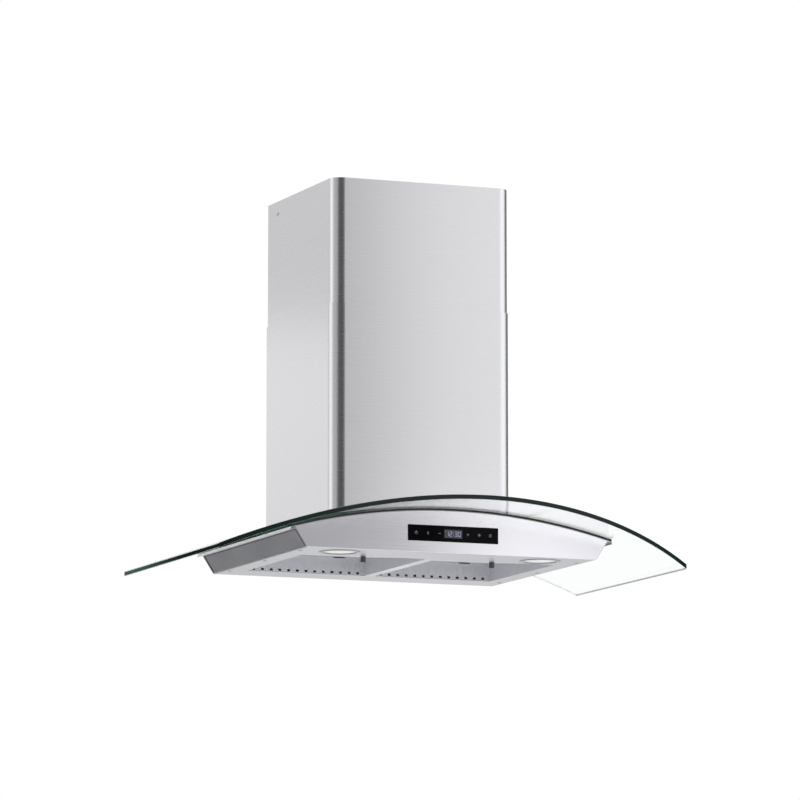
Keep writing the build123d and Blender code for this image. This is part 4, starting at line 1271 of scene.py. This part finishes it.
def studio_floor():
    """A pale floor far below the hood. It glows a little, and from below it is clear."""
    deselect_all()
    bpy.ops.mesh.primitive_plane_add(size=FLOOR_SIZE, location=(0, 0, FLOOR_Z))
    floor = bpy.context.active_object
    floor.name = "studio_floor"
    material, tree, output = new_material("pale_studio_floor")
    matt = add(tree, "ShaderNodeBsdfDiffuse", {"Color": srgb("#F0F0F0")})
    glow = add(tree, "ShaderNodeEmission", {"Color": WHITE, "Strength": 0.25})
    lit = add(tree, "ShaderNodeAddShader")
    tree.links.new(matt.outputs[0], lit.inputs[0])
    tree.links.new(glow.outputs[0], lit.inputs[1])
    clear = add(tree, "ShaderNodeBsdfTransparent")
    geometry = add(tree, "ShaderNodeNewGeometry")
    one_sided = mixed_shaders(tree, geometry.outputs["Backfacing"], lit, clear)
    tree.links.new(one_sided.outputs[0], output.inputs["Surface"])
    floor.data.materials.append(material)


def compass(degrees):
    """The level direction at this many degrees from +X towards +Y."""
    return (math.cos(math.radians(degrees)), math.sin(math.radians(degrees)), 0.0)


# Cards that stand round the hood and show only in its polished metal: whether they are tall,
# the direction of their middle, the cosines of their edge and core, and what they multiply the light by.
CARDS = {
    "camera_side_gap": (True, compass(254), 0.80, 0.93, 0.10),
    "front_veil": (True, compass(292), 0.80, 0.92, 0.70),
    "right_strip": (True, compass(338), 0.90, 0.97, 1.45),
    "left_flag": (True, compass(208), 0.80, 0.92, 0.62),
    "left_strip": (True, compass(156), 0.90, 0.98, 1.45),
    "right_flag": (False, (0.862, 0.427, 0.272), 0.86, 0.92, 0.15),
    "low_wall_flag": (False, (-0.552, 0.752, -0.361), 0.80, 0.95, 0.25),
}

# How much a tall card makes of a ray's rise, next to its level run.
TALL_CARD_RISE = 0.35


def card_light(tree):
    """The light in each direction once all the cards stand there."""
    place = add(tree, "ShaderNodeTexCoord")
    flattened = add(
        tree,
        "ShaderNodeVectorMath",
        {0: place.outputs["Generated"], 1: (1.0, 1.0, TALL_CARD_RISE)},
        operation="MULTIPLY",
    )
    level = add(tree, "ShaderNodeVectorMath", {0: flattened.outputs["Vector"]}, operation="NORMALIZE")
    light = None
    for tall, toward, edge, core, strength in CARDS.values():
        run = level.outputs["Vector"] if tall else place.outputs["Generated"]
        facing = add(tree, "ShaderNodeVectorMath", {0: run, 1: toward}, operation="DOT_PRODUCT")
        card = ramped(tree, facing.outputs["Value"], edge, core, 1.0, strength)
        if light is not None:
            card = add(tree, "ShaderNodeMath", {0: light, 1: card}, operation="MULTIPLY").outputs[0]
        light = card
    return light


def studio_world():
    """White behind the hood, a soft room for its matt finishes, and the cards for its polished ones."""
    world = bpy.data.worlds.new("soft_studio")
    bpy.context.scene.world = world
    world.use_nodes = True
    tree = world.node_tree
    tree.nodes.clear()
    output = add(tree, "ShaderNodeOutputWorld")
    path = add(tree, "ShaderNodeLightPath")
    seen = add(
        tree,
        "ShaderNodeMath",
        {0: path.outputs["Is Camera Ray"], 1: path.outputs["Is Transmission Ray"]},
        operation="MAXIMUM",
    )
    backdrop = add(tree, "ShaderNodeBackground", {"Color": WHITE, "Strength": 1.0})
    room = add(tree, "ShaderNodeBackground", {"Color": srgb("#F4F6FA"), "Strength": 0.75})
    cards = add(tree, "ShaderNodeBackground", {"Color": WHITE, "Strength": card_light(tree)})
    soft_or_gloss = mixed_shaders(tree, path.outputs["Is Glossy Ray"], room, cards)
    shown = mixed_shaders(tree, seen.outputs[0], soft_or_gloss, backdrop)
    tree.links.new(shown.outputs[0], output.inputs["Surface"])


def soft_box(name, place, target, size, power):
    """A rectangular studio lamp that points at a place."""
    lamp = bpy.data.lights.new(name, "AREA")
    lamp.shape = "RECTANGLE"
    lamp.size, lamp.size_y = size
    lamp.energy = power
    holder = bpy.data.objects.new(name, lamp)
    bpy.context.scene.collection.objects.link(holder)
    holder.location = place
    holder.rotation_euler = (Vector(target) - Vector(place)).to_track_quat("-Z", "Y").to_euler()
    holder.visible_camera = False


# Each lamp's place, the place that it points at, its width and height, and its power in watts.
LAMPS = {
    "key_lamp": ((0.62, -1.10, 0.10), (0.10, -0.335, 0.0), (0.75, 1.5), 2.1),
    "low_key_lamp": ((0.46, -1.25, -0.35), (0.2, -0.475, -0.27), (0.26, 0.5), 0.22),
    "top_lamp": ((-0.4, -0.8, 2.2), (0.0, -0.3, 0.0), (1.6, 1.6), 3.0),
    "left_lamp": ((-1.05, 1.9, 0.0), (-0.1, -0.2, 0.0), (1.2, 1.0), 1.3),
    "low_lamp": ((0.2, -0.9, -1.5), (0.0, -0.2, -0.3), (1.4, 1.2), 7.0),
    "recess_lamp": ((-0.7, -2.0, -1.15), (0.0, -0.1, -0.28), (0.8, 0.6), 5.0),
}

# The camera stands low and to the left. Its tilt is in degrees up from level,
# and its turn in degrees from facing the wall squarely.
CAMERA_PLACE = (-3.882, -9.766, -1.448)
CAMERA_TILT = 8.04
CAMERA_TURN = -22.14
SENSOR_WIDTH = 36.0
LENS = 257.3


def photo_camera():
    """The camera, placed and turned as the photograph was taken."""
    camera_data = bpy.data.cameras.new("camera")
    camera_data.sensor_width = SENSOR_WIDTH
    camera_data.lens = LENS
    camera_data.clip_start = 0.1
    camera_data.clip_end = 100.0
    camera = bpy.data.objects.new("camera", camera_data)
    bpy.context.scene.collection.objects.link(camera)
    camera.location = CAMERA_PLACE
    camera.rotation_euler = (math.radians(90.0 + CAMERA_TILT), 0.0, math.radians(CAMERA_TURN))
    bpy.context.scene.camera = camera


studio_floor()
studio_world()
for name, (place, target, size, power) in LAMPS.items():
    soft_box(name, place, target, size, power)
photo_camera()
bpy.context.scene.view_settings.view_transform = "Standard"
